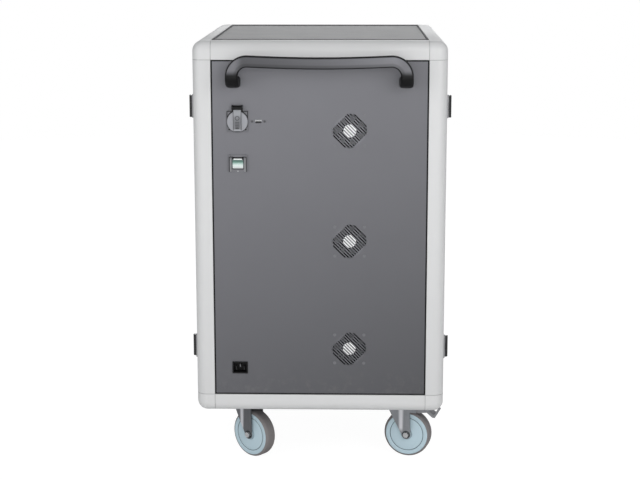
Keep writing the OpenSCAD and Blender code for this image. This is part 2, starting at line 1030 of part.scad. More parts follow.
module fan_rotor(i) {
    color(soft_black)
        on_front_face(panel_back_y)
            translate([fan_x, fan_z(i), motor_recess + motor_t + rotor_gap]) {
                cylinder(r = rotor_hub_r, h = rotor_l);
                translate([0, 0, -rotor_gap - motor_t / 2 + rotor_gap / 2])
                    cylinder(r = rotor_shaft_r, h = motor_t);
                intersection() {
                    cylinder(r = rotor_r, h = rotor_l);
                    for (k = [0 : blades - 1])
                        rotate([0, 0, k * 360 / blades])
                            translate([0, 0, rotor_l / 2])
                                rotate([blade_tilt, 0, 0])
                                    translate([0, -rotor_l * blade_share / 2, -blade_t / 2])
                                        cube([fan_w, rotor_l * blade_share, blade_t]);
                }
            }
}

module fan_rotor_bottom() {
    fan_rotor(0);
}

module fan_rotor_middle() {
    fan_rotor(1);
}

module fan_rotor_top() {
    fan_rotor(2);
}

// Upright wall on a folded foot, with a window for the charging leads on each tier
module partition() {
    color(frame_grey)
        in_cabinet() {
            difference() {
                block([wall_x, -opening_y, floor_z], [wall_x + wall_t, opening_y, bay_top_z]);
                for (i = [0 : tiers - 1])
                    block(
                        [wall_x - over, window_side - opening_y, tier_z(i) + window_low],
                        [wall_x + wall_t + over, opening_y - window_side, tier_z(i) + window_high]
                    );
            }
            block([wall_x, -opening_y, floor_z], [wall_x + foot_w, opening_y, floor_z + wall_t]);
        }
}

// Two shelves of folded sheet between the wall and the door side
module shelves() {
    color(frame_grey)
        in_cabinet()
            for (i = [1 : tiers - 1]) {
                block(
                    [wall_x + wall_t, -opening_y, tier_z(i) - shelf_t],
                    [shelf_x, opening_y, tier_z(i)]
                );
                block(
                    [shelf_x - shelf_t, -opening_y, tier_z(i) - shelf_lip],
                    [shelf_x, opening_y, tier_z(i)]
                );
            }
}

// One divider: an upright sheet whose front top corner slopes back
module bay_divider() {
    translate([0, divider_t / 2, 0])
        rotate([90, 0, 0])
            linear_extrude(divider_t)
                polygon([
                    [0, 0],
                    [divider_d, 0],
                    [divider_d, divider_h - divider_slope_h],
                    [divider_d - divider_slope_w, divider_h],
                    [0, divider_h]
                ]);
}

module bay_dividers() {
    pitch = 2 * opening_y / bays;
    color(frame_grey)
        in_cabinet()
            for (tier = [0 : tiers - 1])
                for (i = [1 : bays - 1])
                    translate([
                        wall_x + foot_w + divider_set_back,
                        -opening_y + i * pitch,
                        tier_z(tier)
                    ])
                        bay_divider();
}

// One socket strip on the charger side of the wall, with shuttered outlets in shallow dishes
module power_strip() {
    pitch = strip_l / outlets;
    difference() {
        block([-strip_d, -strip_l / 2, -strip_w / 2], [0, strip_l / 2, strip_w / 2]);
        for (i = [0 : outlets - 1])
            translate([-strip_d - over, (i - (outlets - 1) / 2) * pitch, 0])
                rotate([0, 90, 0])
                    cylinder(r = outlet_r, h = outlet_dish + over);
    }
}

module power_strips() {
    color(soft_black)
        in_cabinet()
            for (i = [0 : tiers - 1])
                translate([wall_x, 0, tier_z(i) + strip_z])
                    power_strip();
}

// Shallow trays for the laptops' chargers, hung on the wall under each socket strip
module charger_shelves() {
    color(frame_grey)
        in_cabinet()
            for (i = [0 : tiers - 1])
                translate([wall_x, 0, tier_z(i) + tray_rise]) {
                    block([-tray_d, -opening_y, 0], [0, opening_y, shelf_t]);
                    block([-tray_d, -opening_y, 0], [shelf_t - tray_d, opening_y, tray_lip]);
                    block([-shelf_t, -opening_y, -tray_lip], [0, opening_y, shelf_t]);
                }
}

// Timer and fuse box behind the switch, on the wall above the top socket strip
module control_box() {
    color(frame_grey)
        in_cabinet()
            block(
                [wall_x - box_d, box_y - box_l / 2, box_z],
                [wall_x, box_y + box_l / 2, box_z + box_h]
            );
}

// One door, drawn for the +X side: a folded tray with two slotted vents and the lock's hole
module door_tray() {
    height = bay_top_z - bay_low_z - 2 * panel_gap;
    difference() {
        translate([door_x, 0, (bay_top_z + bay_low_z) / 2])
            rotate([90, 0, 90])
                mirror([0, 0, 1])
                    tray(door_w, height, door_fold, sheet_t);
        for (sy = [-1, 1])
            translate([door_x, sy * door_vent_y, door_vent_z])
                rotate([90, 0, 90])
                    mirror([0, 0, 1])
                        vent_cut(door_vent_r, sheet_t);
        translate([door_x - sheet_t - over, lock_y, lock_z])
            rotate([0, 90, 0])
                cylinder(r = lock_shaft_r + run_fit, h = sheet_t + 2 * over);
    }
}

module laptop_door() {
    color(panel_grey)
        on_side(1)
            door_tray();
}

module charger_door() {
    color(panel_grey)
        on_side(-1)
            door_tray();
}

// Knuckle of a hinge between two heights, with the pin's bore
module knuckle(z0, z1) {
    translate([barrel_x, barrel_y, z0])
        cylinder(r = barrel_r, h = z1 - z0);
}

module pin_bore() {
    translate([barrel_x, barrel_y, -hinge_h])
        cylinder(r = pin_r + run_fit, h = 2 * hinge_h);
}

// The hinge half on the post: two outer knuckles and a plate cut clear of the door's knuckle
module frame_leaf() {
    z0 = -hinge_h / 2;
    knuckle_h = hinge_h * knuckle_share;
    plate_y = barrel_y - barrel_r - swing_gap;
    difference() {
        union() {
            block([side_x, barrel_y - leaf_reach, z0], [leaf_x, plate_y, z0 + hinge_h]);
            for (z = [z0, z0 + 2 * knuckle_h]) {
                block([side_x, plate_y - over, z], [barrel_x, barrel_y, z + knuckle_h]);
                knuckle(z, z + knuckle_h);
            }
        }
        pin_bore();
    }
}

// The hinge half on the door: the middle knuckle and a plate on the door's face
module door_leaf() {
    z0 = -hinge_h / 2;
    knuckle_h = hinge_h * knuckle_share;
    plate_y = barrel_y + barrel_r + swing_gap;
    low = z0 + knuckle_h + knuckle_gap;
    high = z0 + 2 * knuckle_h - knuckle_gap;
    difference() {
        union() {
            block([door_x, plate_y, z0], [leaf_x, barrel_y + leaf_reach, z0 + hinge_h]);
            block([side_x + swing_gap, barrel_y, low], [barrel_x, plate_y + over, high]);
            knuckle(low, high);
        }
        pin_bore();
    }
}

module at_hinges() {
    for (z = [hinge_low_z, hinge_high_z])
        translate([0, 0, z])
            children();
}

module frame_hinge_leaves() {
    color(soft_black)
        for (side = [-1, 1])
            on_side(side)
                at_hinges()
                    frame_leaf();
}

module laptop_door_leaves() {
    color(soft_black)
        on_side(1)
            at_hinges()
                door_leaf();
}

module charger_door_leaves() {
    color(soft_black)
        on_side(-1)
            at_hinges()
                door_leaf();
}

module hinge_pins() {
    color(zinc_grey)
        for (side = [-1, 1])
            on_side(side)
                at_hinges() {
                    translate([barrel_x, barrel_y, -hinge_h / 2])
                        cylinder(r = pin_r, h = hinge_h);
                    translate([barrel_x, barrel_y, hinge_h / 2])
                        cylinder(r = pin_head_r, h = pin_head_t);
                }
}

module lock_plate() {
    difference() {
        block(
            [door_x, lock_y - lock_w / 2, lock_z - lock_h / 2],
            [door_x + lock_t, lock_y + lock_w / 2, lock_z + lock_h / 2]
        );
        translate([door_x - over, lock_y, lock_z])
            rotate([0, 90, 0])
                cylinder(r = lock_shaft_r + run_fit, h = lock_t + 2 * over);
    }
}

// Knob, shaft and cam of one lock: the knob lies level and the cam hangs down while unlocked
module lock_handle() {
    knob_x = door_x + lock_t;
    translate([0, lock_y, lock_z]) {
        translate([knob_x, 0, 0])
            rotate([0, 90, 0])
                cylinder(r = lock_disc_r, h = lock_disc_t);
        block(
            [knob_x + lock_disc_t, -lock_knob_l / 2, -lock_knob_w / 2],
            [knob_x + lock_disc_t + lock_knob_t, lock_knob_l / 2, lock_knob_w / 2]
        );
        translate([knob_x + lock_disc_t + lock_knob_t, 0, 0])
            rotate([0, 90, 0])
                cylinder(r = key_r, h = key_t);
        translate([cam_x, 0, 0])
            rotate([0, 90, 0])
                cylinder(r = lock_shaft_r, h = knob_x - cam_x);
        block([cam_x, -cam_w / 2, -cam_l], [cam_x + cam_t, cam_w / 2, cam_w / 2]);
    }
}

module laptop_lock_plate() {
    color(soft_black)
        on_side(1)
            lock_plate();
}

module charger_lock_plate() {
    color(soft_black)
        on_side(-1)
            lock_plate();
}

module laptop_lock_handle() {
    color(soft_black)
        on_side(1)
            lock_handle();
}

module charger_lock_handle() {
    color(soft_black)
        on_side(-1)
            lock_handle();
}

// Frames of strip behind the doors, which the closed doors and the locks' cams bear on
module door_stops() {
    color(soft_black)
        for (side = [-1, 1])
            on_side(side)
                translate([stop_x, 0, (bay_top_z + bay_low_z) / 2])
                    rotate([90, 0, 90])
                        linear_extrude(stop_t)
                            difference() {
                                square([2 * opening_y, bay_top_z - bay_low_z], center = true);
                                square([
                                    2 * (opening_y - stop_w),
                                    bay_top_z - bay_low_z - 2 * stop_w
                                ], center = true);
                            }
}

// Places its children on one caster's upright axis, turned to its heading
module at_caster(side, end, heading) {
    in_cabinet()
        translate([side * caster_x, end * (face_y - caster_inset), 0])
            rotate([0, 0, heading])
                children();
}

// All four upright axes, square to the cart
module at_casters() {
    for (side = [-1, 1])
        for (end = [-1, 1])
            at_caster(side, end, 0)
                children();
}

module plate_hole_places() {
    for (sx = [-1, 1])
        for (sy = [-1, 1])
            translate([sx * plate_holes_w / 2, sy * plate_holes_l / 2, 0])
                children();
}

// Mounting plates, each with its ball race and king pin below
module caster_plates() {
    color(zinc_grey)
        at_casters() {
            difference() {
                translate([-plate_w / 2, -plate_l / 2, plate_z])
                    cube([plate_w, plate_l, plate_t]);
                plate_hole_places()
                    translate([0, 0, plate_z - over])
                        cylinder(r = plate_hole_r, h = plate_t + 2 * over);
            }
            translate([0, 0, plate_z - race_t])
                cylinder(r = race_r, h = race_t);
            translate([0, 0, king_low_z])
                cylinder(r = king_r, h = plate_z - king_low_z);
            translate([0, 0, king_low_z])
                cylinder(r = king_head_r, h = king_head_t);
        }
}

module caster_bolts() {
    color(zinc_grey)
        at_casters()
            plate_hole_places() {
                translate([0, 0, plate_z - head_t])
                    cylinder(r = head_r, h = head_t, $fn = 6);
                translate([0, 0, plate_z - head_t])
                    cylinder(r = bolt_r, h = head_t + plate_t + base_t + nut_t);
                translate([0, 0, floor_z])
                    cylinder(r = head_r, h = nut_t, $fn = 6);
            }
}

// Outline of one fork leg in x and z: a broad top that narrows to a round toe at the axle
module leg_outline() {
    union() {
        polygon([
            [leg_back_x, crown_z],
            [leg_knee_x, leg_knee_z],
            [caster_trail - leg_toe_r, axle_z],
            [caster_trail + leg_toe_r, axle_z],
            [leg_front_x, crown_z]
        ]);
        translate([caster_trail, axle_z])
            circle(leg_toe_r);
    }
}

// A swivel fork with its crown; a braked fork also has lugs for the pedal's pin
module fork(braked) {
    crown_half = fork_gap / 2 + fork_t;
    color(zinc_grey)
        difference() {
            union() {
                translate([0, 0, crown_z])
                    cylinder(r = crown_r, h = crown_t);
                block([leg_back_x, -crown_half, web_z], [leg_front_x, crown_half, crown_z]);
                for (y = [-crown_half, fork_gap / 2])
                    translate([0, y + fork_t, 0])
                        rotate([90, 0, 0])
                            linear_extrude(fork_t) {
                                leg_outline();
                                if (braked)
                                    translate([caster_trail, lug_low_z])
                                        square([lug_x - caster_trail, crown_z - lug_low_z]);
                            }
            }
            translate([0, 0, web_z - over])
                cylinder(r = king_r + run_fit, h = crown_top_z - web_z + 2 * over);
            translate([caster_trail, crown_half + over, axle_z])
                rotate([90, 0, 0])
                    cylinder(r = axle_r + run_fit, h = 2 * (crown_half + over));
            if (braked)
                translate([pedal_x, crown_half + over, pedal_z])
                    rotate([90, 0, 0])
                        cylinder(r = pedal_pin_r + run_fit, h = 2 * (crown_half + over));
        }
}

module fork_front_left() {
    at_caster(-1, -1, heading_front_left)
        fork(false);
}

module fork_front_right() {
    at_caster(1, -1, heading_front_right)
        fork(true);
}

module fork_rear_left() {
    at_caster(-1, 1, heading_rear_left)
        fork(true);
}

module fork_rear_right() {
    at_caster(1, 1, heading_rear_right)
        fork(false);
}

// Turns a profile drawn with x as radius and y along the axle round the wheel's axle
module on_axle() {
    translate([caster_trail, 0, axle_z])
        rotate([90, 0, 0])
            rotate_extrude()
                children();
}

// Wheel centre of moulded plastic: rim, web with a ring groove on both faces, boss and bore
module wheel() {
    rim_half = tyre_w / 2 - rim_inset;
    color(hub_blue)
        on_axle()
            difference() {
                union() {
                    translate([axle_r + run_fit, -rim_half])
                        square([rim_r - axle_r - run_fit, 2 * rim_half]);
                    translate([axle_r + run_fit, -hub_w / 2])
                        square([boss_r - axle_r, hub_w]);
                }
                for (y = [-rim_half, rim_half - groove_t])
                    translate([groove_r, y])
                        square([groove_w, groove_t]);
            }
}

// Tyre with round shoulders, moulded round the rim
module tyre() {
    flat = tyre_w - 2 * shoulder_r;
    color(tyre_grey)
        on_axle()
            difference() {
                union() {
                    translate([rim_r, -flat / 2])
                        square([tyre_h, flat]);
                    for (y = [-flat / 2, flat / 2])
                        translate([wheel_r - shoulder_r, y])
                            circle(shoulder_r);
                }
                translate([0, -tyre_w])
                    square([rim_r, 2 * tyre_w]);
            }
}

module wheel_front_left() {
    at_caster(-1, -1, heading_front_left)
        wheel();
}

module wheel_front_right() {
    at_caster(1, -1, heading_front_right)
        wheel();
}

module wheel_rear_left() {
    at_caster(-1, 1, heading_rear_left)
        wheel();
}

module wheel_rear_right() {
    at_caster(1, 1, heading_rear_right)
        wheel();
}

module tyre_front_left() {
    at_caster(-1, -1, heading_front_left)
        tyre();
}

module tyre_front_right() {
    at_caster(1, -1, heading_front_right)
        tyre();
}

module tyre_rear_left() {
    at_caster(-1, 1, heading_rear_left)
        tyre();
}

module tyre_rear_right() {
    at_caster(1, 1, heading_rear_right)
        tyre();
}

// Axle bolt with its nut, outside the two fork legs
module axle() {
    outside = fork_gap / 2 + fork_t;
    color(zinc_grey)
        translate([caster_trail, 0, axle_z])
            rotate([90, 0, 0]) {
                translate([0, 0, -outside])
                    cylinder(r = axle_r, h = 2 * outside);
                translate([0, 0, outside])
                    cylinder(r = head_r, h = head_t, $fn = 6);
                translate([0, 0, -outside - nut_t])
                    cylinder(r = head_r, h = nut_t, $fn = 6);
            }
}

module axle_front_left() {
    at_caster(-1, -1, heading_front_left)
        axle();
}

module axle_front_right() {
    at_caster(1, -1, heading_front_right)
        axle();
}

module axle_rear_left() {
    at_caster(-1, 1, heading_rear_left)
        axle();
}

module axle_rear_right() {
    at_caster(1, 1, heading_rear_right)
        axle();
}

// Brake pedal: from its pin over the shoe above the tyre to a turned-up step
module brake_pedal() {
    pin_half = fork_gap / 2 + fork_t;
    color(zinc_grey) {
        translate([0, pedal_w / 2, 0])
            rotate([90, 0, 0])
                linear_extrude(pedal_w)
                    union() {
                        polygon([
                            for (s = pedal_shares)
                                [pedal_x + pedal_l * s[0], pedal_z + pedal_h * s[1]]
                        ]);
                        translate([pedal_x, pedal_z])
                            circle(pedal_boss_r);
                    }
        translate([pedal_x, pin_half, pedal_z])
            rotate([90, 0, 0])
                cylinder(r = pedal_pin_r, h = 2 * pin_half);
    }
}

module brake_pedal_front() {
    at_caster(1, -1, heading_front_right)
        brake_pedal();
}

module brake_pedal_rear() {
    at_caster(-1, 1, heading_rear_left)
        brake_pedal();
}

posts();
end_rails();
side_rails();
corner_blocks();
top_panel();
base_panel();
end_panel_front();
end_panel_rear();
panel_seals();
push_handle();
panel_screws();
socket_housing();
socket_lid();
socket_lid_barrel();
data_port();
switch_shroud();
switch_rocker();
mains_inlet();
inlet_pins();
fan_frames();
fan_rotor_bottom();
fan_rotor_middle();
fan_rotor_top();
partition();
shelves();
bay_dividers();
power_strips();
charger_shelves();
control_box();
laptop_door();
charger_door();
frame_hinge_leaves();
laptop_door_leaves();
charger_door_leaves();
hinge_pins();
laptop_lock_plate();
charger_lock_plate();
laptop_lock_handle();
charger_lock_handle();
door_stops();
caster_plates();
caster_bolts();
fork_front_left();
fork_front_right();
fork_rear_left();
fork_rear_right();
wheel_front_left();
wheel_front_right();
wheel_rear_left();
wheel_rear_right();
tyre_front_left();
tyre_front_right();
tyre_rear_left();
tyre_rear_right();
axle_front_left();
axle_front_right();
axle_rear_left();
axle_rear_right();
brake_pedal_front();
brake_pedal_rear();
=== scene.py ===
"""Charging cart for laptops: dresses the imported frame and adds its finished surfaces."""
import logging
import math
from collections.abc import Callable, Sequence
from dataclasses import dataclass
from enum import Enum
from typing import Any

import bpy
import numpy as np
from mathutils import Matrix, Vector


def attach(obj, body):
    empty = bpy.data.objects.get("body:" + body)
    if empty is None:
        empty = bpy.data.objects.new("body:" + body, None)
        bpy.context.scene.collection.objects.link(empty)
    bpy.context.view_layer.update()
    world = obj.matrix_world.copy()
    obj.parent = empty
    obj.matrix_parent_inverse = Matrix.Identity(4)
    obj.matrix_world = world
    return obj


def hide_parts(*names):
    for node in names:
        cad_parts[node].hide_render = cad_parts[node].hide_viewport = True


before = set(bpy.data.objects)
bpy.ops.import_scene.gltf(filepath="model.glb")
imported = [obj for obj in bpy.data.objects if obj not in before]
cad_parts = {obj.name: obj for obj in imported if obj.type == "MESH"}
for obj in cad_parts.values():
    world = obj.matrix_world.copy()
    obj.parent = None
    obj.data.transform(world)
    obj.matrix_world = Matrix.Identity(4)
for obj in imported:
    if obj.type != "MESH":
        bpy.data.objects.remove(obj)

Array = np.ndarray
RGB = tuple[float, float, float]
Triple = tuple[float, float, float]  # a place or a stretch, by axis
Stop = tuple[float, float, float, float]
Placing = Callable[[Array], Array]
log = logging.getLogger("cart")

MM = 0.001
MID_Y = 31.0  # the cabinet's middle stands back by half the handle's reach, in millimetres
FAN_X, FAN_LOW, FAN_PITCH = 72.0, 318.5, 270.0  # the fans' column, lowest middle and spacing


# Shapes

@dataclass
class Shell:
    """Points, in millimetres of the cabinet's own frame, and the faces that join them."""

    points: Array
    faces: list[Array]

    def mapped(self, change: Placing) -> "Shell":
        """Moves every point by one array function and keeps the faces pointing out."""
        return Shell(change(self.points), self.faces).outward()

    def volume(self) -> float:
        """Signed volume: the sum of the corner tetrahedra of each face's fan.

        Returns:
            The volume, in cubic millimetres.
        """
        total = 0.0
        for group in self.faces:
            corner = self.points[group]
            first = corner[:, :1]
            fans = np.cross(corner[:, 1:-1] - first, corner[:, 2:] - first)
            total += float((fans * first).sum())
        return total / 6

    def outward(self) -> "Shell":
        """Reverses the faces where the enclosed volume comes out negative.

        Returns:
            This shell, or one with its faces turned round.
        """
        if self.volume() >= 0:
            return self
        return Shell(self.points, [group[:, ::-1] for group in self.faces])


def join(shells: Sequence[Shell]) -> Shell:
    """Puts several shells into one.

    Args:
        shells: The closed shells, each of which keeps its own points.

    Returns:
        One shell with all of their faces.
    """
    faces: list[Array] = []
    start = 0
    for shell in shells:
        faces.extend(group + start for group in shell.faces)
        start += len(shell.points)
    return Shell(np.concatenate([shell.points for shell in shells]), faces)


def stacked(*parts: Any) -> Array:
    """One array or number per coordinate, stretched to a common shape, along a new last axis."""
    return np.stack(np.broadcast_arrays(*parts), axis=-1)


def grid_quads(rows: int, columns: int, wrap_rows: bool = False, wrap_columns: bool = True) -> Array:
    """Four-sided faces of a grid of points that is stored row by row.

    Args:
        rows: Number of rows of points.
        columns: Number of points in a row.
        wrap_rows: Joins the last row to the first.
        wrap_columns: Joins the last column to the first.

    Returns:
        An array of point numbers, four to a face.
    """
    r = np.arange(rows if wrap_rows else rows - 1)[:, None]
    c = np.arange(columns if wrap_columns else columns - 1)[None, :]
    below, right = (r + 1) % rows, (c + 1) % columns
    quads = stacked(r * columns + c, r * columns + right, below * columns + right, below * columns + c)
    return quads.reshape(-1, 4)


def loft(rings: Array, closed: bool = False) -> Shell:
    """A skin over rings of points, with a flat face on each end unless the rings close.

    Args:
        rings: Points of shape (ring, place on the ring, 3).
        closed: The last ring joins the first, as on a tyre.

    Returns:
        The closed shell.
    """
    rows, columns = rings.shape[:2]
    faces = [grid_quads(rows, columns, wrap_rows=closed)]
    if not closed:
        faces.append(np.arange(columns)[None, ::-1])
        faces.append(((rows - 1) * columns + np.arange(columns))[None, :])
    return Shell(rings.reshape(-1, 3), faces).outward()


def rounded_outline(w: float, h: float, radii: Sequence[float], steps: int = 8) -> Array:
    """A rectangle from (0, 0) to (w, h) with a quarter circle of its own radius in each corner.

    Args:
        w: Width.
        h: Height.
        radii: The four radii, from the corner at (0, 0) round to the one at (0, h).
        steps: Spans of each quarter circle.

    Returns:
        Points of shape (place, 2): each centre plus its radius times (cos, sin) of the turn.
    """
    r = np.asarray(radii, float)[:, None]
    centre = stacked([r[0], w - r[1], w - r[2], r[3]], [r[0], r[1], h - r[2], h - r[3]])
    turn = np.radians(np.array([180.0, 270.0, 0.0, 90.0])[:, None] + np.linspace(0, 90, steps + 1))
    return (centre + stacked(np.cos(turn), np.sin(turn)) * r[:, :, None]).reshape(-1, 2)


def superellipse(sides: int, power: float) -> Array:
    """A rounded square of half width 1 round the origin: cosine and sine to the power 2 / power.

    Args:
        sides: Number of points.
        power: 2 for a circle, more for squarer sides.

    Returns:
        Points of shape (place, 2).
    """
    turn = np.linspace(0, 2 * np.pi, sides, endpoint=False)
    c, s = np.cos(turn), np.sin(turn)
    return stacked(np.sign(c) * np.abs(c) ** (2 / power), np.sign(s) * np.abs(s) ** (2 / power))


def outline_normals(outline: Array) -> Array:
    """Outward unit normals of a closed outline, from the chord between each point's neighbours.

    Args:
        outline: Points of shape (place, 2), counter-clockwise.

    Returns:
        Unit vectors of the same shape.
    """
    chord = np.roll(outline, -1, axis=0) - np.roll(outline, 1, axis=0)
    normal = stacked(chord[:, 1], -chord[:, 0])
    return normal / np.maximum(np.linalg.norm(normal, axis=-1, keepdims=True), 1e-9)


def slab(outline: Array, low: float, high: float, rim: float, steps: int = 4) -> Shell:
    """A plate or bar: an outline carried from one level to another with a quarter round at each rim.

    At a turn t of a rim the outline lies rim * (1 - sin t) inside its full size, at rim * (1 - cos t)
    from the end.

    Args:
        outline: Points of shape (place, 2), counter-clockwise.
        low: Level of the first face.
        high: Level of the last face.
        rim: Radius of both rims.
        steps: Spans of each rim.

    Returns:
        The closed shell, with the levels along z.
    """
    t = np.linspace(0, np.pi / 2, steps + 1)
    in_from_end, inset = rim * (1 - np.cos(t)), rim * (1 - np.sin(t))
    level = np.concatenate([low + in_from_end, high - in_from_end[::-1]])
    inset = np.concatenate([inset, inset[::-1]])
    flat = outline[None] - outline_normals(outline)[None] * inset[:, None, None]
    return loft(stacked(flat[..., 0], flat[..., 1], level[:, None]))


def lathe(profile: Array, sides: int = 96, closed: bool = False) -> Shell:
    """A turned form: each profile point (radius, height) carried round z.

    Args:
        profile: Points of shape (place, 2).
        sides: Places round the axis.
        closed: The profile is a loop that keeps clear of the axis.

    Returns:
        The closed shell.
    """
    turn = np.linspace(0, 2 * np.pi, sides, endpoint=False)
    r, z = profile[:, :1], profile[:, 1:]
    return loft(stacked(r * np.cos(turn), r * np.sin(turn), z), closed=closed)


def softened(profile: Sequence[Sequence[float]], radius: float, steps: int = 4,
             loop: bool = False) -> Array:
    """Rounds the corners of a broken line.

    Each corner becomes a quadratic curve that leaves its sides at the radius, or at 0.45 of the
    side where that is shorter: (1-t)^2 a + 2t(1-t) corner + t^2 b.

    Args:
        profile: Corner points of shape (place, 2).
        radius: Length taken from each side of a corner.
        steps: Spans of each curve.
        loop: The line closes on itself, so its ends are rounded too.

    Returns:
        Points of the rounded line.
    """
    p = np.asarray(profile, float)
    before, after = np.roll(p, 1, axis=0) - p, np.roll(p, -1, axis=0) - p
    reach = np.stack([np.linalg.norm(before, axis=1), np.linalg.norm(after, axis=1)], axis=1)
    cut = np.minimum(radius, 0.45 * reach) / np.maximum(reach, 1e-9)
    if not loop:
        cut[[0, -1]] = 0
    a, b = p + before * cut[:, :1], p + after * cut[:, 1:]
    t = np.linspace(0, 1, steps + 1)[None, :, None]
    line = (1 - t) ** 2 * a[:, None] + 2 * t * (1 - t) * p[:, None] + t ** 2 * b[:, None]
    flat = line.reshape(-1, 2)
    step = np.linalg.norm(np.diff(flat, axis=0, prepend=flat[:1] - 1), axis=1)
    return flat[step > 1e-6]


def sweep(centre: Array, half_width: Array, half_depth: Array, power: float, sides: int) -> Shell:
    """A bar of superellipse sections: centre + width * |cos|^(2/power) + depth * |sin|^(2/power)."""
    share = superellipse(sides, power)
    return loft(centre[:, None] + half_width[:, None] * share[:, :1] + half_depth[:, None] * share[:, 1:])


def rounded_cube_corner(size: float, radius: float, steps: int = 10) -> Shell:
    """A cube whose edges and corner at the origin are rounded to one radius.

    A point p of the cube's skin moves to q + (p - q) * longest / length, where q is p kept at
    least one radius away from the three outer planes, longest is the greatest share of p - q
    and length is its length. Grid lines stand at radius * (1 - tan angle), so arcs are even.

    Args:
        size: Side of the cube.
        radius: Radius of the three edges and of the corner.
        steps: Spans of each rounding.

    Returns:
        The closed shell, from (0, 0, 0) to (size, size, size).
    """
    line = np.append(radius * (1 - np.tan(np.linspace(np.pi / 4, 0, steps + 1))), size)
    count = len(line)
    u, v = np.meshgrid(line, line, indexing="ij")
    points, faces = [], []
    quads = grid_quads(count, count, wrap_columns=False)
    for axis in range(3):
        for level in (0.0, size):
            face = np.empty((count * count, 3))
            face[:, axis] = level
            face[:, (axis + 1) % 3], face[:, (axis + 2) % 3] = u.ravel(), v.ravel()
            # rows run along u and columns along v, so the plain order faces against the axis
            faces.append((quads if level == 0 else quads[:, ::-1]) + len(points) * count * count)
            points.append(face)
    p = np.concatenate(points)
    q = np.maximum(p, radius)
    off = p - q
    length = np.linalg.norm(off, axis=1, keepdims=True)
    p = q + off * np.abs(off).max(axis=1, keepdims=True) / np.maximum(length, 1e-9)
    unique, places = np.unique(np.round(p, 5), axis=0, return_inverse=True)
    return Shell(unique, [places.reshape(-1)[group] for group in faces]).outward()


def axes(x: Sequence[float], y: Sequence[float], z: Sequence[float],
         origin: Sequence[float] = (0, 0, 0)) -> Placing:
    """A placing: the shell's own x, y and z run along these directions from an origin."""
    basis, start = np.array([x, y, z], float), np.asarray(origin, float)
    return lambda points: points @ basis + start


def on_front(x: float, z: float, face_y: float) -> Placing:
    """A placing for fittings on the handle end: x across, y up, z out towards the viewer."""
    return axes((1, 0, 0), (0, 0, 1), (0, -1, 0), (x, -face_y, z))


def make_piece(name: str, shell: Shell, finish: "Finish | Finishes", body: str,
               stands_for: Sequence[str] = (), crease: float = 32,
               shares: dict[str, Array] | None = None) -> bpy.types.Object:
    """Writes a shell into a mesh object that rides on a body.

    Args:
        name: Name of the piece.
        shell: Its surface, in millimetres of the cabinet's frame.
        finish: Its finish.
        body: The CAD body that carries it.
        stands_for: CAD nodes that it replaces.
        crease: Edges that turn by more than this many degrees stay sharp.
        shares: Values of each point that the finish reads, by name.

    Returns:
        The finished object, at the origin.
    """
    mesh = bpy.data.meshes.new(name)
    loops = np.concatenate([group.ravel() for group in shell.faces]).astype(np.int32)
    sizes = np.concatenate([np.full(len(group), group.shape[1]) for group in shell.faces])
    starts = np.concatenate([[0], np.cumsum(sizes)[:-1]]).astype(np.int32)
    mesh.vertices.add(len(shell.points))
    mesh.vertices.foreach_set("co", ((shell.points + [0, MID_Y, 0]) * MM).astype(np.float32).ravel())
    mesh.loops.add(len(loops))
    mesh.loops.foreach_set("vertex_index", loops)
    mesh.polygons.add(len(sizes))
    mesh.polygons.foreach_set("loop_start", starts)
    mesh.polygons.foreach_set("use_smooth", np.ones(len(sizes), bool))
    mesh.update(calc_edges=True)
    mesh.validate()
    mesh.set_sharp_from_angle(angle=math.radians(crease))
    for key, values in (shares or {}).items():
        mesh.attributes.new(key, "FLOAT", "POINT").data.foreach_set("value", values.astype(np.float32))
    mesh.materials.append(finish.material())
    piece = bpy.data.objects.new(name, mesh)
    bpy.context.scene.collection.objects.link(piece)
    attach(piece, body)
    if stands_for:
        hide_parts(*stands_for)
    log.info("%s: %d faces on %s", name, len(sizes), body)
    return piece


# Finishes

def tone(r: float, g: float, b: float) -> RGB:
    """Turns a screen colour of 0 to 255 into the linear colour that renders as it."""
    share = [v / 255 for v in (r, g, b)]
    return tuple(v / 12.92 if v <= 0.04045 else ((v + 0.055) / 1.055) ** 2.4 for v in share)


def math_method(operation: str, swapped: bool = False) -> Callable[..., "Socket"]:
    """A Socket method that adds one Math node.

    Args:
        operation: The node's operation.
        swapped: Puts the other value first, for the reflected forms.

    Returns:
        The method. Its second value is 0 where the operation needs only one.
    """
    def method(self: "Socket", other: Any = 0.0) -> "Socket":
        """The operation's result."""
        first, second = (other, self) if swapped else (self, other)
        return self.tree.add("ShaderNodeMath", {"operation": operation}, {0: first, 1: second})
    return method


class Socket:
    """A value inside a material. Arithmetic on it adds Math nodes."""

    __add__ = __radd__ = math_method("ADD")
    __mul__ = __rmul__ = math_method("MULTIPLY")
    __sub__ = math_method("SUBTRACT")
    __rsub__ = math_method("SUBTRACT", swapped=True)
    __truediv__ = math_method("DIVIDE")
    __pow__ = math_method("POWER")
    size = math_method("ABSOLUTE")
    at_least = math_method("MAXIMUM")

    def __init__(self, tree: "Tree", out: bpy.types.NodeSocket) -> None:
        """Keeps the tree and the node's output."""
        self.tree, self.out = tree, out

    def smooth(self, low: float, high: float) -> "Socket":
        """Zero below low, one above high and a soft step between."""
        return self.tree.add("ShaderNodeMapRange", {"interpolation_type": "SMOOTHSTEP"},
                             {"Value": self, "From Min": low, "From Max": high})

    def below(self, low: float, high: float) -> "Socket":
        """One below low, zero above high and a soft step between."""
        return 1 - self.smooth(low, high)

    def near(self, level: float, low: float, high: float) -> "Socket":
        """One within low of a level, zero beyond high of it and a soft step between."""
        return (self - level).size().below(low, high)


def distance(a: Socket, b: Socket) -> Socket:
    """How far a point is, from its two steps at a right angle: the root of a * a + b * b."""
    return (a * a + b * b) ** 0.5


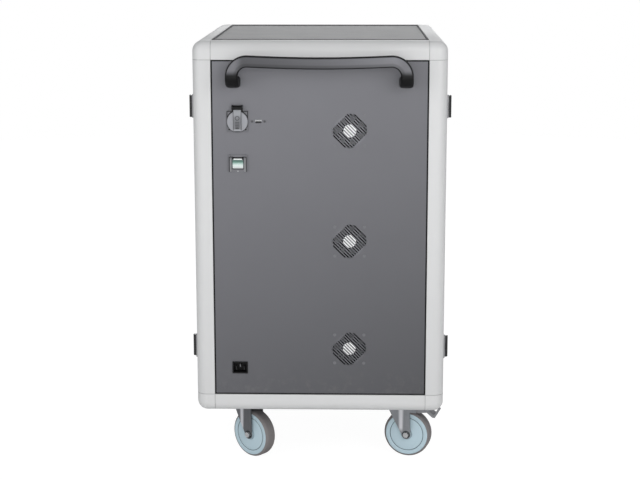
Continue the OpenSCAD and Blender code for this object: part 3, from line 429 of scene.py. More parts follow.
def strongest(first: Socket, *others: Socket) -> Socket:
    """The greatest of several shares.

    Args:
        first: One share.
        others: The others.

    Returns:
        The greatest at each place.
    """
    for share in others:
        first = first.at_least(share)
    return first


class Tree:
    """The nodes of one material, round a Principled shader."""

    def __init__(self, name: str, **plain: Any) -> None:
        """Starts a material.

        Args:
            name: Name of the material.
            plain: Shader sockets that hold the same value all over, by name with _ for spaces.
        """
        self.material = bpy.data.materials.new(name)
        self.material.use_nodes = True
        self.nodes = self.material.node_tree.nodes
        self.links = self.material.node_tree.links
        self.shader = self.nodes["Principled BSDF"]
        for key, value in plain.items():
            self.shader.inputs[key.replace("_", " ")].default_value = value
        self.place = self.add("ShaderNodeTexCoord", {}, {}, "Object")

    def add(self, kind: str, settings: dict[str, Any], inputs: dict[Any, Any], output: Any = 0) -> Socket:
        """Adds one node.

        Args:
            kind: Node type.
            settings: Properties, set first; "stops" is a ramp's list of (place, red, green, blue).
            inputs: Values or sockets by input name or number.
            output: Name or number of the output that is wanted.

        Returns:
            That output as a Socket.
        """
        node = self.nodes.new(kind)
        for key, value in settings.items():
            if key == "stops":
                self._set_stops(node.color_ramp, value)
            else:
                setattr(node, key, value)
        for key, value in inputs.items():
            if isinstance(value, Socket):
                self.links.new(value.out, node.inputs[key])
            else:
                node.inputs[key].default_value = value
        return Socket(self, node.outputs[output])

    @staticmethod
    def _set_stops(ramp: bpy.types.ColorRamp, stops: Sequence[Stop]) -> None:
        """Fills a ramp with stops.

        Args:
            ramp: The ramp.
            stops: Places with screen colours.
        """
        while len(ramp.elements) < len(stops):
            ramp.elements.new(0.5)
        for element, (place, *colour) in zip(ramp.elements, stops):
            element.position, element.color = place, (*tone(*colour), 1)

    def noise(self, scale: float, detail: float = 2, rough: float = 0.5,
              stretch: Triple | None = None) -> Socket:
        """Noise over the object's own place, of scale waves to a metre, stretched per axis.

        Args:
            scale: Waves to a metre.
            detail: Octaves.
            rough: Weight of the finer octaves.
            stretch: Factor on each axis.

        Returns:
            The noise, about 0 to 1.
        """
        where = self.place
        if stretch is not None:
            where = self.add("ShaderNodeMapping", {}, {"Vector": self.place, "Scale": stretch})
        inputs = {"Vector": where, "Scale": scale, "Detail": detail, "Roughness": rough}
        return self.add("ShaderNodeTexNoise", {}, inputs, "Fac")

    def axis(self, name: str, where: Socket | None = None) -> Socket:
        """One coordinate, X, Y or Z, in metres, of the object's own place or of another one."""
        return self.add("ShaderNodeSeparateXYZ", {}, {"Vector": where or self.place}, name)

    def share(self, name: str) -> Socket:
        """A value that is stored on the mesh's points."""
        return self.add("ShaderNodeAttribute", {"attribute_name": name}, {}, "Fac")

    def turned(self, centre: tuple[float, float], heading: float) -> Socket:
        """The object's own place seen from an upright axis, in metres, turned by a heading in degrees.

        Args:
            centre: Where the axis stands, in metres.
            heading: The turn, in degrees.

        Returns:
            The place in the turned frame.
        """
        h = math.radians(heading)
        c, s = math.cos(h), math.sin(h)
        start = (-centre[0] * c - centre[1] * s, centre[0] * s - centre[1] * c, 0)
        inputs = {"Vector": self.place, "Location": start, "Rotation": (0, 0, -h)}
        return self.add("ShaderNodeMapping", {}, inputs)

    def ramp(self, share: Socket, stops: Sequence[Stop]) -> Socket:
        """A colour read from a row of stops."""
        return self.add("ShaderNodeValToRGB", {"stops": stops}, {"Fac": share}, "Color")

    def blend(self, share: Any, first: Any, second: Any) -> Socket:
        """A colour between two others, each an RGB tuple or a socket."""
        first, second = ((*c, 1) if isinstance(c, tuple) else c for c in (first, second))
        return self.add("ShaderNodeMix", {"data_type": "RGBA"}, {0: share, 6: first, 7: second}, 2)

    def shade(self, colour: Any, amount: Socket) -> Socket:
        """A colour, an RGB tuple or a socket, times a grey amount."""
        grey = self.add("ShaderNodeCombineXYZ", {}, {0: amount, 1: amount, 2: amount})
        return self.add("ShaderNodeVectorMath", {"operation": "MULTIPLY"}, {0: colour, 1: grey})

    def feed(self, **links: Socket) -> "Tree":
        """Links varying values to the shader's sockets.

        Args:
            links: Sockets by the shader's own names, with _ for spaces.

        Returns:
            The tree itself.
        """
        for key, value in links.items():
            self.links.new(value.out, self.shader.inputs[key.replace("_", " ")])
        return self

    def surface(self, colour: Socket, roughness: Socket, height: Socket, depth: float,
                strength: float) -> "Tree":
        """Feeds the shader's colour and roughness, and its normal through a Bump node.

        Args:
            colour: Base colour.
            roughness: Roughness.
            height: Relief, from 0 to 1.
            depth: The relief's full depth, in metres.
            strength: Share of the relief that shows.

        Returns:
            The tree itself.
        """
        inputs = {"Height": height, "Distance": depth, "Strength": strength}
        bump = self.add("ShaderNodeBump", {}, inputs, "Normal")
        return self.feed(Base_Color=colour, Roughness=roughness, Normal=bump)


@dataclass(frozen=True)
class Finish:
    """A surface finish that is built once and shared by every piece that has it.

    Its name must differ from the names of the record's material slots.
    """

    name: str
    colour: RGB

    def material(self) -> bpy.types.Material:
        """The finish's material, made when it is first asked for."""
        made = bpy.data.materials.get(self.name)
        return made if made else self.build().material

    def build(self) -> Tree:
        """Makes the nodes; every kind of finish has its own."""
        raise NotImplementedError

    def mottled(self, tree: Tree, other: RGB, waves: tuple[float, float],
                grey: tuple[float, float]) -> tuple[Socket, Socket, Socket]:
        """The colour, leaning towards another in patches and speckled with grain.

        Args:
            tree: The material's nodes.
            other: The colour that the patches lean towards.
            waves: Scales of the grain and of the patches.
            grey: Least share of the colour, and what the grain adds to it.

        Returns:
            The colour, the grain and the patches.
        """
        grain, flow = tree.noise(waves[0], 2, 0.6), tree.noise(waves[1], 3, 0.5)
        base = tree.shade(tree.blend(flow * 0.2, self.colour, other), grey[0] + grain * grey[1])
        return base, grain, flow


@dataclass(frozen=True)
class PowderCoat(Finish):
    """Baked powder paint: an orange-peel skin, a slightly uneven tone and a little settled dust."""

    roughness: float = 0.42
    peel: float = 0.00012
    speckle: float = 0.04
    cloud: float = 0.05
    fall: float = 0.0
    lean: float = 0.0

    def wear_and_sheen(self, tree: Tree) -> Any:
        """A share that the tone is multiplied by; plain coats have none."""
        return 1.0

    def build(self) -> Tree:
        """Orange peel at about 2 mm, speckle at about 0.6 mm, clouds of about 200 mm.

        Painted shade: the tone falls by a share of itself for each metre down from the top, and by another
        for each metre towards +X.

        Returns:
            The material's nodes.
        """
        tree = Tree(self.name, Specular_IOR_Level=0.45)
        peel, grain, cloud = tree.noise(520, 2, 0.55), tree.noise(1700, 1, 0.6), tree.noise(4.5, 3, 0.5)
        x, z = tree.axis("X"), tree.axis("Z")
        amount = 1 + (cloud - 0.5) * (2 * self.cloud) + (grain - 0.5) * (2 * self.speckle)
        # painted shade: darker downwards and towards +X, times the coat's joint lines or painted vent
        # highlight
        amount = (amount + (z - 1) * self.fall - x * self.lean) * self.wear_and_sheen(tree)
        dust = z.below(0.12, 0.30) * tree.noise(60, 4, 0.65).smooth(0.45, 0.75) * 0.10
        paint = tree.blend(dust, tree.shade(self.colour, amount), tone(186, 182, 176))
        rough = tree.noise(14, 3, 0.6) * 0.12 + (self.roughness - 0.06) + dust
        return tree.surface(paint, rough, peel * 0.7 + grain * 0.3, self.peel, 0.8)


@dataclass(frozen=True)
class SeamedCoat(PowderCoat):
    """The frame's coat, with grime in the joints between profiles and corner castings."""

    joints: tuple[tuple[str, float, float], ...] = (
        ("X", 0.0, 0.260), ("Y", 0.031, 0.295), ("Z", 0.6145, 0.4135),
    )

    def wear_and_sheen(self, tree: Tree) -> Any:
        """A thin dark line at each joint plane, given by its axis, middle and distance from it.

        Args:
            tree: The material's nodes.

        Returns:
            The share that the tone is multiplied by.
        """
        lines = [(tree.axis(axis) - middle).size().near(reach, 0.0003, 0.0011)
                 for axis, middle, reach in self.joints]
        return 1 - strongest(*lines) * 0.34


@dataclass(frozen=True)
class VentedCoat(PowderCoat):
    """The same coat with a painted highlight: a little brighter on the thin bars between the three fans'
    slots.
    """

    edge: tuple[float, float] = (0.028, 0.041)
    rise: float = 0.45

    def wear_and_sheen(self, tree: Tree) -> Any:
        """A painted highlight: a rise within about 40 mm of each fan's middle, on the end with the handle
        only.

        Args:
            tree: The material's nodes.

        Returns:
            The share that the tone is multiplied by.
        """
        across, up = tree.axis("X") - FAN_X * MM, tree.axis("Z")
        bars = [distance(across, up - (FAN_LOW + FAN_PITCH * row) * MM).below(*self.edge)
                for row in range(3)]
        # painted highlight on the bars round each fan
        return strongest(*bars) * tree.axis("Y").below(-0.304, -0.300) * self.rise + 1


@dataclass(frozen=True)
class MouldedPlastic(Finish):
    """Moulded plastic with a spark-eroded grain and faint flow marks."""

    roughness: float = 0.45
    grain: float = 0.00008
    grain_scale: float = 1400
    mottling: float = 0.06
    shine: float = 0.5

    def build(self) -> Tree:
        """Fine grain in the relief, flow marks of about 30 mm in tone and gloss.

        Returns:
            The material's nodes.
        """
        tree = Tree(self.name, Specular_IOR_Level=self.shine)
        grain, flow = tree.noise(self.grain_scale, 2, 0.6), tree.noise(28, 3, 0.5, (1, 1, 0.35))
        amount = 1 + (flow - 0.5) * (2 * self.mottling) + (grain - 0.5) * 0.06
        rough = flow * 0.14 + (self.roughness - 0.07)
        return tree.surface(tree.shade(self.colour, amount), rough, grain, self.grain, 0.7)


@dataclass(frozen=True)
class WheelPlastic(Finish):
    """The wheel centre's plastic, darker in its ring groove and round the boss."""

    groove: float = 43.1
    boss: float = 13.6

    def build(self) -> Tree:
        """Reads each point's radius in millimetres.

        Returns:
            The material's nodes.
        """
        tree = Tree(self.name, Specular_IOR_Level=0.4)
        radius = tree.share("radius")
        base, grain, flow = self.mottled(tree, tone(182, 200, 208), (1300, 28), (0.97, 0.06))
        ring, hub = radius.near(self.groove, 0.55, 1.15), radius.near(self.boss, 0.5, 1.6)
        colour = tree.blend((ring * 0.8).at_least(hub * 0.5), base, tone(62, 78, 86))
        return tree.surface(colour, flow * 0.14 + 0.4, grain, 0.00008, 0.7)


@dataclass(frozen=True)
class SoftRubber(Finish):
    """Matt rubber with a dull bloom and pale dust rubbed into it."""

    dust: float = 0.15
    roughness: float = 0.8
    shine: float = 0.3

    def skin(self, tree: Tree) -> Any:
        """The rubber's own colour."""
        return self.colour

    def build(self) -> Tree:
        """Bloom of about 15 mm, dust specks of about 3 mm and a fine grain.

        Returns:
            The material's nodes.
        """
        tree = Tree(self.name, Specular_IOR_Level=self.shine)
        bloom, specks = tree.noise(70, 4, 0.6), tree.noise(340, 3, 0.7)
        base = tree.shade(self.skin(tree), 0.9 + bloom * 0.2)
        dusty = tree.blend(specks.smooth(0.52, 0.72) * self.dust, base, tone(176, 172, 168))
        rough = bloom * 0.1 + (self.roughness - 0.05)
        return tree.surface(dusty, rough, tree.noise(1100, 3, 0.65), 0.0001, 0.6)


@dataclass(frozen=True)
class PanelSeal(SoftRubber):
    """The seals in the gaps: black on the upright faces, grey on the top behind the handle."""

    top: tuple[float, float] = (1.060, 1.066)
    behind: tuple[float, float] = (-0.262, -0.245)

    def skin(self, tree: Tree) -> Any:
        """The grey part starts just behind the front run of the top's seal."""
        mask = tree.axis("Z").smooth(*self.top) * tree.axis("Y").smooth(*self.behind)
        return tree.blend(mask, self.colour, tone(104, 104, 106))


@dataclass(frozen=True)
class PlatedSteel(Finish):
    """Zinc-plated pressed steel: drawn lines along the press and cloudy patches of passivation."""

    roughness: float = 0.32
    metallic: float = 0.85
    patches: float = 0.25
    lines: Triple = (1, 1, 0.03)

    def build(self) -> Tree:
        """Lines of about 1 mm drawn out along one axis, patches of about 12 mm.

        Returns:
            The material's nodes.
        """
        tree = Tree(self.name, Specular_IOR_Level=0.5, Metallic=self.metallic)
        drawn, patch = tree.noise(900, 3, 0.6, self.lines), tree.noise(85, 4, 0.62)
        stain = tree.noise(30, 3, 0.5).smooth(0.50, 0.78)
        colour = tree.shade(self.colour, 1 - patch * self.patches + drawn * 0.12 - stain * 0.18)
        rough = patch * 0.22 + drawn * 0.1 + (self.roughness - 0.14) + stain * 0.12
        return tree.surface(colour, rough, drawn * 0.6 + patch * 0.4, 0.00006, 0.7)


@dataclass(frozen=True)
class PressedFork(Finish):
    """The fork steel of one caster, in metres: dark plating, a painted highlight on its rib, painted shade
    at its axle seat.
    """

    centre: tuple[float, float] = (0.0, 0.0)
    heading: float = 0.0
    axle: tuple[float, float] = (0.030, 0.060)
    rib: float = 0.008
    rib_edge: tuple[float, float] = (0.0016, 0.0078)
    rib_foot: tuple[float, float] = (0.062, 0.080)
    rib_top: float = 0.090
    seat_edge: tuple[float, float] = (0.0092, 0.0118)

    def build(self) -> Tree:
        """Places are read in the fork's own frame: x ahead of the upright axis, z up.

        Returns:
            The material's nodes.
        """
        tree = Tree(self.name, Specular_IOR_Level=0.5, Metallic=0.8)
        where = tree.turned(self.centre, self.heading)
        x, z = tree.axis("X", where), tree.axis("Z", where)
        drawn, patch = tree.noise(700, 3, 0.6, (1, 1, 0.04)), tree.noise(90, 4, 0.62)
        # the rib's painted highlight narrows from its top to its foot
        side = ((x - self.rib) * (1 + (self.rib_top - z) * 4)).size()
        rib = side.below(*self.rib_edge) * z.smooth(*self.rib_foot)
        # painted shade round the axle seat
        seat = distance(x - self.axle[0], z - self.axle[1]).below(*self.seat_edge)
        # painted light: the steel is lighter behind the upright axis
        grey = tree.blend(x.below(-0.016, 0.004) * 0.5, self.colour, tone(150, 150, 154))
        plain = tree.shade(grey, 0.92 + drawn * 0.34 - patch * 0.18)
        colour = tree.blend(seat * 0.85, tree.blend(rib, plain, tone(214, 214, 218)), tone(48, 52, 54))
        rough = patch * 0.2 + drawn * 0.1 + 0.26
        return tree.surface(colour, rough, drawn * 0.6 + patch * 0.4, 0.00006, 0.7)


@dataclass(frozen=True)
class Fitting(Finish):
    """A finish that is drawn round the middle of one fitting on the handle end, in metres."""

    x: float = -0.197
    z: float = 0.881

    def steps(self, tree: Tree) -> tuple[Socket, Socket]:
        """The steps to the side and up from the fitting's middle."""
        return tree.axis("X") - self.x, tree.axis("Z") - self.z


@dataclass(frozen=True)
class SocketPlate(Fitting):
    """The socket's plate with painted shade: a dark outline, a dark seat round the lid and two dark dots at
    its foot.
    """

    half: float = 0.0238
    seat_r: float = 0.0276
    dot: tuple[float, float] = (0.0198, -0.0189)

    def build(self) -> Tree:
        """The outline's painted shade fades towards the plate's foot.

        Returns:
            The material's nodes.
        """
        tree = Tree(self.name, Specular_IOR_Level=0.3)
        side, up = self.steps(tree)
        across, soft = side.size(), (self.half - 0.0006, self.half + 0.0006)
        # painted shade: the outline along the upper sides and the top
        edge = (across.smooth(*soft) * up.smooth(-0.012, 0.006)).at_least(up.smooth(*soft))
        # painted shadow round the lid's seat, strongest on its upper half
        seat = distance(side, up).below(self.seat_r - 0.0008, self.seat_r + 0.0008)
        seat = seat * (up.smooth(-0.022, 0.002) * 0.7 + 0.3)
        # painted shadow dots at the plate's foot
        dots = distance(across - self.dot[0], up - self.dot[1]).below(0.0014, 0.0028)
        base, grain, flow = self.mottled(tree, tone(70, 70, 74), (1400, 40), (0.94, 0.1))
        dark = tree.blend(strongest(edge, seat, dots), base, tone(12, 12, 13))
        return tree.surface(dark, flow * 0.2 + 0.4, grain, 0.00006, 0.6)


@dataclass(frozen=True)
class SwitchPlate(Fitting):
    """The rocker's shroud: painted shade in dark side lines and notches at the window's top, painted
    highlights on guards, and a pilot dot.
    """

    line: float = 0.0203
    cap: float = 0.0152
    window: float = 0.0100
    well: tuple[float, float] = (0.0134, 0.0136)
    guard: float = 0.0172
    pilot: float = -0.0192

    def build(self) -> Tree:
        """Painted shade lines are about 2 mm wide, and the cap's line runs from the window to the side
        lines.

        Returns:
            The material's nodes.
        """
        tree = Tree(self.name, Specular_IOR_Level=0.3)
        side, up = self.steps(tree)
        across, thin = side.size(), (0.0006, 0.0014)
        below, outside = up.below(0.0156, 0.0164), across.smooth(self.window, self.window + 0.0008)
        # painted shade: side lines, the cap's line, notches at the window's top corners and a dark well
        # round it
        sides = across.near(self.line, *thin) * below
        top = up.near(self.cap, *thin) * outside * across.below(0.0206, 0.0212)
        notch = outside * across.below(0.0132, 0.0142) * up.smooth(0.0096, 0.0106)
        well = (across - self.well[0]).at_least(up.size() - self.well[1]).below(0.0002, 0.0010)
        # painted highlight along the guards
        guard = across.near(self.guard, 0.0006, 0.0015) * up.below(0.0100, 0.0130) * 0.5
        dot = distance(side, up - self.pilot).below(0.0008, 0.0019)
        base, grain, flow = self.mottled(tree, tone(80, 80, 84), (1400, 40), (0.94, 0.1))
        lit = tree.blend(guard.at_least(dot), base, tone(186, 186, 186))
        dark = strongest(sides * 0.8, top, notch * below, well)
        return tree.surface(tree.blend(dark, lit, tone(12, 12, 13)), flow * 0.2 + 0.4, grain, 0.00006, 0.6)


@dataclass(frozen=True)
class SplitTone(Finish):
    """Moulded or plated trim whose tone changes softly at one level of one axis."""

    axis: str = "Z"
    level: float = 0.0
    soft: float = 0.001
    beyond: RGB = (0.01, 0.01, 0.01)
    metallic: float = 0.0
    roughness: float = 0.4

    def build(self) -> Tree:
        """The first colour below the level, measured without its sign across, and the other beyond it.

        Returns:
            The material's nodes.
        """
        tree = Tree(self.name, Specular_IOR_Level=0.5, Metallic=self.metallic)
        place = tree.axis(self.axis)
        wear_and_sheen, grain = tree.noise(260, 4, 0.6), tree.noise(1200, 2, 0.6)
        where = place.size() if self.axis == "X" else place
        uneven = where + (wear_and_sheen - 0.5) * (self.soft * 0.5)
        mask = uneven.smooth(self.level - self.soft, self.level + self.soft)
        colour = tree.shade(tree.blend(mask, self.colour, self.beyond), 0.9 + wear_and_sheen * 0.12 + grain * 0.08)
        rough = wear_and_sheen * 0.2 + (self.roughness - 0.1)
        return tree.surface(colour, rough, grain * 0.7 + wear_and_sheen * 0.3, 0.00007, 0.7)


@dataclass(frozen=True)
class GripPlastic(Finish):
    """The satin black handle with a painted reflection: a grey front face between dark edges, and black
    legs below it.
    """

    front: tuple[float, float] = (0.84, 0.93)
    foot: tuple[float, float] = (0.994, 1.010)
    ends: tuple[float, float] = (0.176, 0.200)

    def build(self) -> Tree:
        """Reads the point's share across the bar, 0 outside to 1 inside, and towards the front.

        Returns:
            The material's nodes.
        """
        tree = Tree(self.name, Specular_IOR_Level=0.2)
        across, front, x = tree.share("bar_across"), tree.share("bar_front"), tree.axis("X")
        grain, flow = tree.noise(1300, 2, 0.6), tree.noise(30, 3, 0.5, (0.3, 1, 1))
        # painted reflection across the bar: dark edges round a grey front face
        face = tree.ramp(across, [
            (0.0, 20, 20, 21), (0.09, 22, 22, 23), (0.15, 112, 112, 116), (0.60, 108, 108, 112),
            (0.72, 92, 92, 95), (0.86, 88, 88, 91), (0.93, 24, 24, 25), (1.0, 20, 20, 21),
        ])
        # painted light: the bar brightens towards +X, and the legs are evenly lit
        bar, leg = x * 1.97 + x * x * 4 + 0.73, x.size().smooth(*self.ends)
        mask = front.smooth(*self.front) * tree.axis("Z").smooth(*self.foot)
        worn = 0.93 + flow * 0.1 + grain * 0.06
        bright = tree.shade(face, (bar * (1 - leg) + leg * 0.98) * worn)
        colour = tree.blend(mask, tree.shade(self.colour, worn), bright)
        return tree.surface(colour, flow * 0.16 + 0.46, grain, 0.0001, 0.6)


@dataclass(frozen=True)
class LidBand(Fitting):
    """The lid's raised band with painted shade: a dark ring, four dark grip ribs, a finger recess and dark
    sides.
    """

    half: float = 0.00975
    ring: tuple[float, float] = (0.0085, 0.0046)
    ribs: tuple[float, ...] = (-0.0015, -0.0051, -0.0087, -0.0121)
    recess: float = -0.0155

    def build(self) -> Tree:
        """The ring is given by its height and radius, the ribs and the recess by their heights.

        Returns:
            The material's nodes.
        """
        tree = Tree(self.name, Specular_IOR_Level=0.4)
        side, up = self.steps(tree)
        across, thin = side.size(), (0.0006, 0.0014)
        grain, wear_and_sheen = tree.noise(1400, 2, 0.6), tree.noise(200, 3, 0.6)
        # painted light and shade down the band: lighter at its foot and top, darker in its middle
        body = tree.ramp((up + 0.025) / 0.055 + (wear_and_sheen - 0.5) * 0.03, [
            (0.0, 150, 152, 156), (0.10, 146, 147, 151), (0.16, 112, 113, 117), (0.45, 108, 109, 113),
            (0.62, 118, 119, 123), (0.76, 142, 144, 148), (1.0, 140, 142, 146),
        ])
        # painted shade round the ring, along the ribs, in a finger recess and along the band's sides
        ring = distance(side, up - self.ring[0]).near(self.ring[1], *thin)
        rib = strongest(*[up.near(level, *thin) for level in self.ribs]) * across.below(0.0048, 0.0056)
        recess = distance(side / 3.2, up - self.recess).below(0.0012, 0.0021)
        edge = across.smooth(self.half - 0.0016, self.half - 0.0007) * 0.8
        dark = strongest(edge, ring * 0.75, rib * 0.75, recess)
        colour = tree.blend(dark, tree.shade(body, 0.94 + grain * 0.1), tone(46, 46, 48))
        return tree.surface(colour, wear_and_sheen * 0.2 + 0.34, grain, 0.00007, 0.7)


@dataclass(frozen=True)
class LidDisc(Fitting):
    """The lid's disc, with its shaded lower lip."""

    lip: float = -0.0232

    def build(self) -> Tree:
        """The lip is the lowest 2 mm of the disc.

        Returns:
            The material's nodes.
        """
        tree = Tree(self.name, Specular_IOR_Level=0.4)
        lip = self.steps(tree)[1].below(self.lip - 0.0006, self.lip + 0.0006)
        base, grain, flow = self.mottled(tree, tone(160, 161, 165), (1500, 30), (0.97, 0.06))
        colour = tree.blend(lip, base, tone(14, 14, 15))
        return tree.surface(colour, flow * 0.16 + 0.36, grain, 0.00006, 0.7)


@dataclass(frozen=True)
class RockerLens(Finish):
    """The rocker's clear lens, painted with light and shade: a white top edge, a green field below it and a
    pale lower half.
    """

    top: float = 0.7932
    span: float = 0.0264
    x: float = -0.197

    def build(self) -> Tree:
        """Colour stops of painted light and shade down the rocker's height, with a dark painted shadow
        notch in both upper corners.

        Returns:
            The material's nodes.
        """
        tree = Tree(self.name, Specular_IOR_Level=0.6, Coat_Weight=0.3)
        share = (self.top - tree.axis("Z")) / self.span
        wobble = tree.noise(180, 3, 0.6)
        # painted highlight on the top edge, painted shade over the green field below it and a lit pale
        # lower half
        rows = tree.ramp(share + (wobble - 0.5) * 0.03, [
            (0.00, 225, 228, 228), (0.13, 222, 226, 226), (0.19, 74, 98, 90), (0.30, 78, 112, 102),
            (0.40, 104, 138, 128), (0.52, 160, 186, 178), (0.66, 200, 212, 208), (0.90, 196, 200, 199),
            (1.0, 110, 112, 112),
        ])
        # painted shadow notches in both upper corners
        notch = (tree.axis("X") - self.x).size().smooth(0.0098, 0.0104) * share.below(0.12, 0.18)
        pale = tree.blend(notch, tree.shade(rows, 0.95 + wobble * 0.1), tone(16, 16, 17))
        return tree.surface(pale, wobble * 0.2 + 0.15, wobble, 0.0001, 0.5)


@dataclass(frozen=True)
class PrintedLabel(Finish):
    """A plain white paper disc on a fan's motor, slightly foxed, with nothing printed on it."""

    def build(self) -> Tree:
        """Paper fibres of about 1 mm and a warm shade in patches.

        Returns:
            The material's nodes.
        """
        tree = Tree(self.name, Specular_IOR_Level=0.4)
        fibre, patch = tree.noise(800, 4, 0.7), tree.noise(60, 3, 0.5)
        base = tree.blend(patch.smooth(0.45, 0.8) * 0.3, self.colour, tone(226, 222, 212))
        return tree.surface(tree.shade(base, 0.96 + fibre * 0.06), fibre * 0.2 + 0.45, fibre, 0.00005, 0.5)


class Finishes(Enum):
    """Every finish of the cart."""

    FRAME = SeamedCoat("frame_powder_coat", tone(201, 201, 201), 0.45, 0.00010, 0.012, 0.010)
    # the panels' coat carries painted shade, darker downwards and towards +X, and a painted highlight on
    # the vent bars
    PANEL = VentedCoat("panel_powder_coat", tone(107, 107, 112), 0.48, 0.00022, 0.05, 0.02, 0.60, 0.30)
    # painted light: the top panel has the panels' paint, made lighter because the top faces the lamps
    TOP = PowderCoat("top_powder_coat", tone(121, 121, 122), 0.55, 0.00022, 0.05, 0.03)
    INNER = PowderCoat("inner_powder_coat", tone(196, 197, 198), 0.5, 0.00012, 0.03, 0.03)
    HANDLE = GripPlastic("handle_grip_finish", tone(8, 8, 9))
    BLACK = MouldedPlastic("black_moulding_finish", tone(11, 11, 12), 0.5, 0.00006, 1500, 0.08, 0.2)
    FAN = MouldedPlastic("fan_moulding_finish", tone(5, 5, 6), 0.8, 0.00006, 1300, 0.08, 0.03)
    SOCKET = SocketPlate("socket_plate_finish", tone(104, 104, 108))
    SWITCH = SwitchPlate("switch_plate_finish", tone(110, 110, 114), z=0.780)
    PORT = SplitTone(
        "data_port_steel", tone(58, 58, 61), "Z", 0.8812, 0.0006, tone(212, 213, 214), 0.2, 0.35,
    )
    SCREWS = SplitTone("screw_paint", tone(104, 104, 108), "X", 0.120, 0.002, tone(66, 66, 69), 0.1, 0.45)
    HINGE = SplitTone("hinge_coat", tone(140, 140, 142), "X", 0.3095, 0.0012, tone(20, 20, 21), 0.1, 0.4)
    PINS = SplitTone(
        "inlet_pin_finish", tone(24, 24, 25), "Z", 0.2705, 0.0012, tone(104, 104, 107), 0.3, 0.5,
    )
    LID = LidDisc("lid_moulding_finish", tone(140, 141, 146))
    LID_BAND = LidBand("lid_band_plastic", tone(128, 130, 133))
    LENS = RockerLens("rocker_lens", tone(200, 210, 208))
    LABEL = PrintedLabel("motor_label", tone(252, 252, 252))
    HARDWARE = PowderCoat("hardware_coat", tone(34, 34, 36), 0.4, 0.00010, 0.05, 0.05)
    SEAL = PanelSeal("seal_finish", tone(18, 18, 19), 0.06, 0.75, 0.2)
    TYRE = SoftRubber("tyre_finish", tone(122, 118, 118), 0.12, 0.72)
    WHEEL = WheelPlastic("wheel_finish", tone(177, 197, 206))
    ZINC = PlatedSteel("zinc_finish", tone(150, 150, 153), 0.34, 0.85, 0.28)
    BRIGHT = PlatedSteel("bright_finish", tone(205, 205, 206), 0.24, 0.9, 0.15, (1, 1, 1))

    def material(self) -> bpy.types.Material:
        """The finish's material."""
        return self.value.material()


# Sub-assemblies

@dataclass(frozen=True)
class Lamp:
    """One soft area lamp that looks at a point: places and sizes in metres, power in watts."""

    name: str
    place: Triple
    aim: Triple
    size: tuple[float, float]
    power: float

    def build(self) -> None:
        """Hangs the lamp in its place and turns it to its aim."""
        data = bpy.data.lights.new(self.name, "AREA")
        data.shape, data.size, data.size_y = "RECTANGLE", self.size[0], self.size[1]
        data.energy = self.power
        lamp = bpy.data.objects.new(self.name, data)
        lamp.location = self.place
        lamp.rotation_euler = (Vector(self.aim) - Vector(self.place)).to_track_quat("-Z", "Y").to_euler()
        bpy.context.scene.collection.objects.link(lamp)


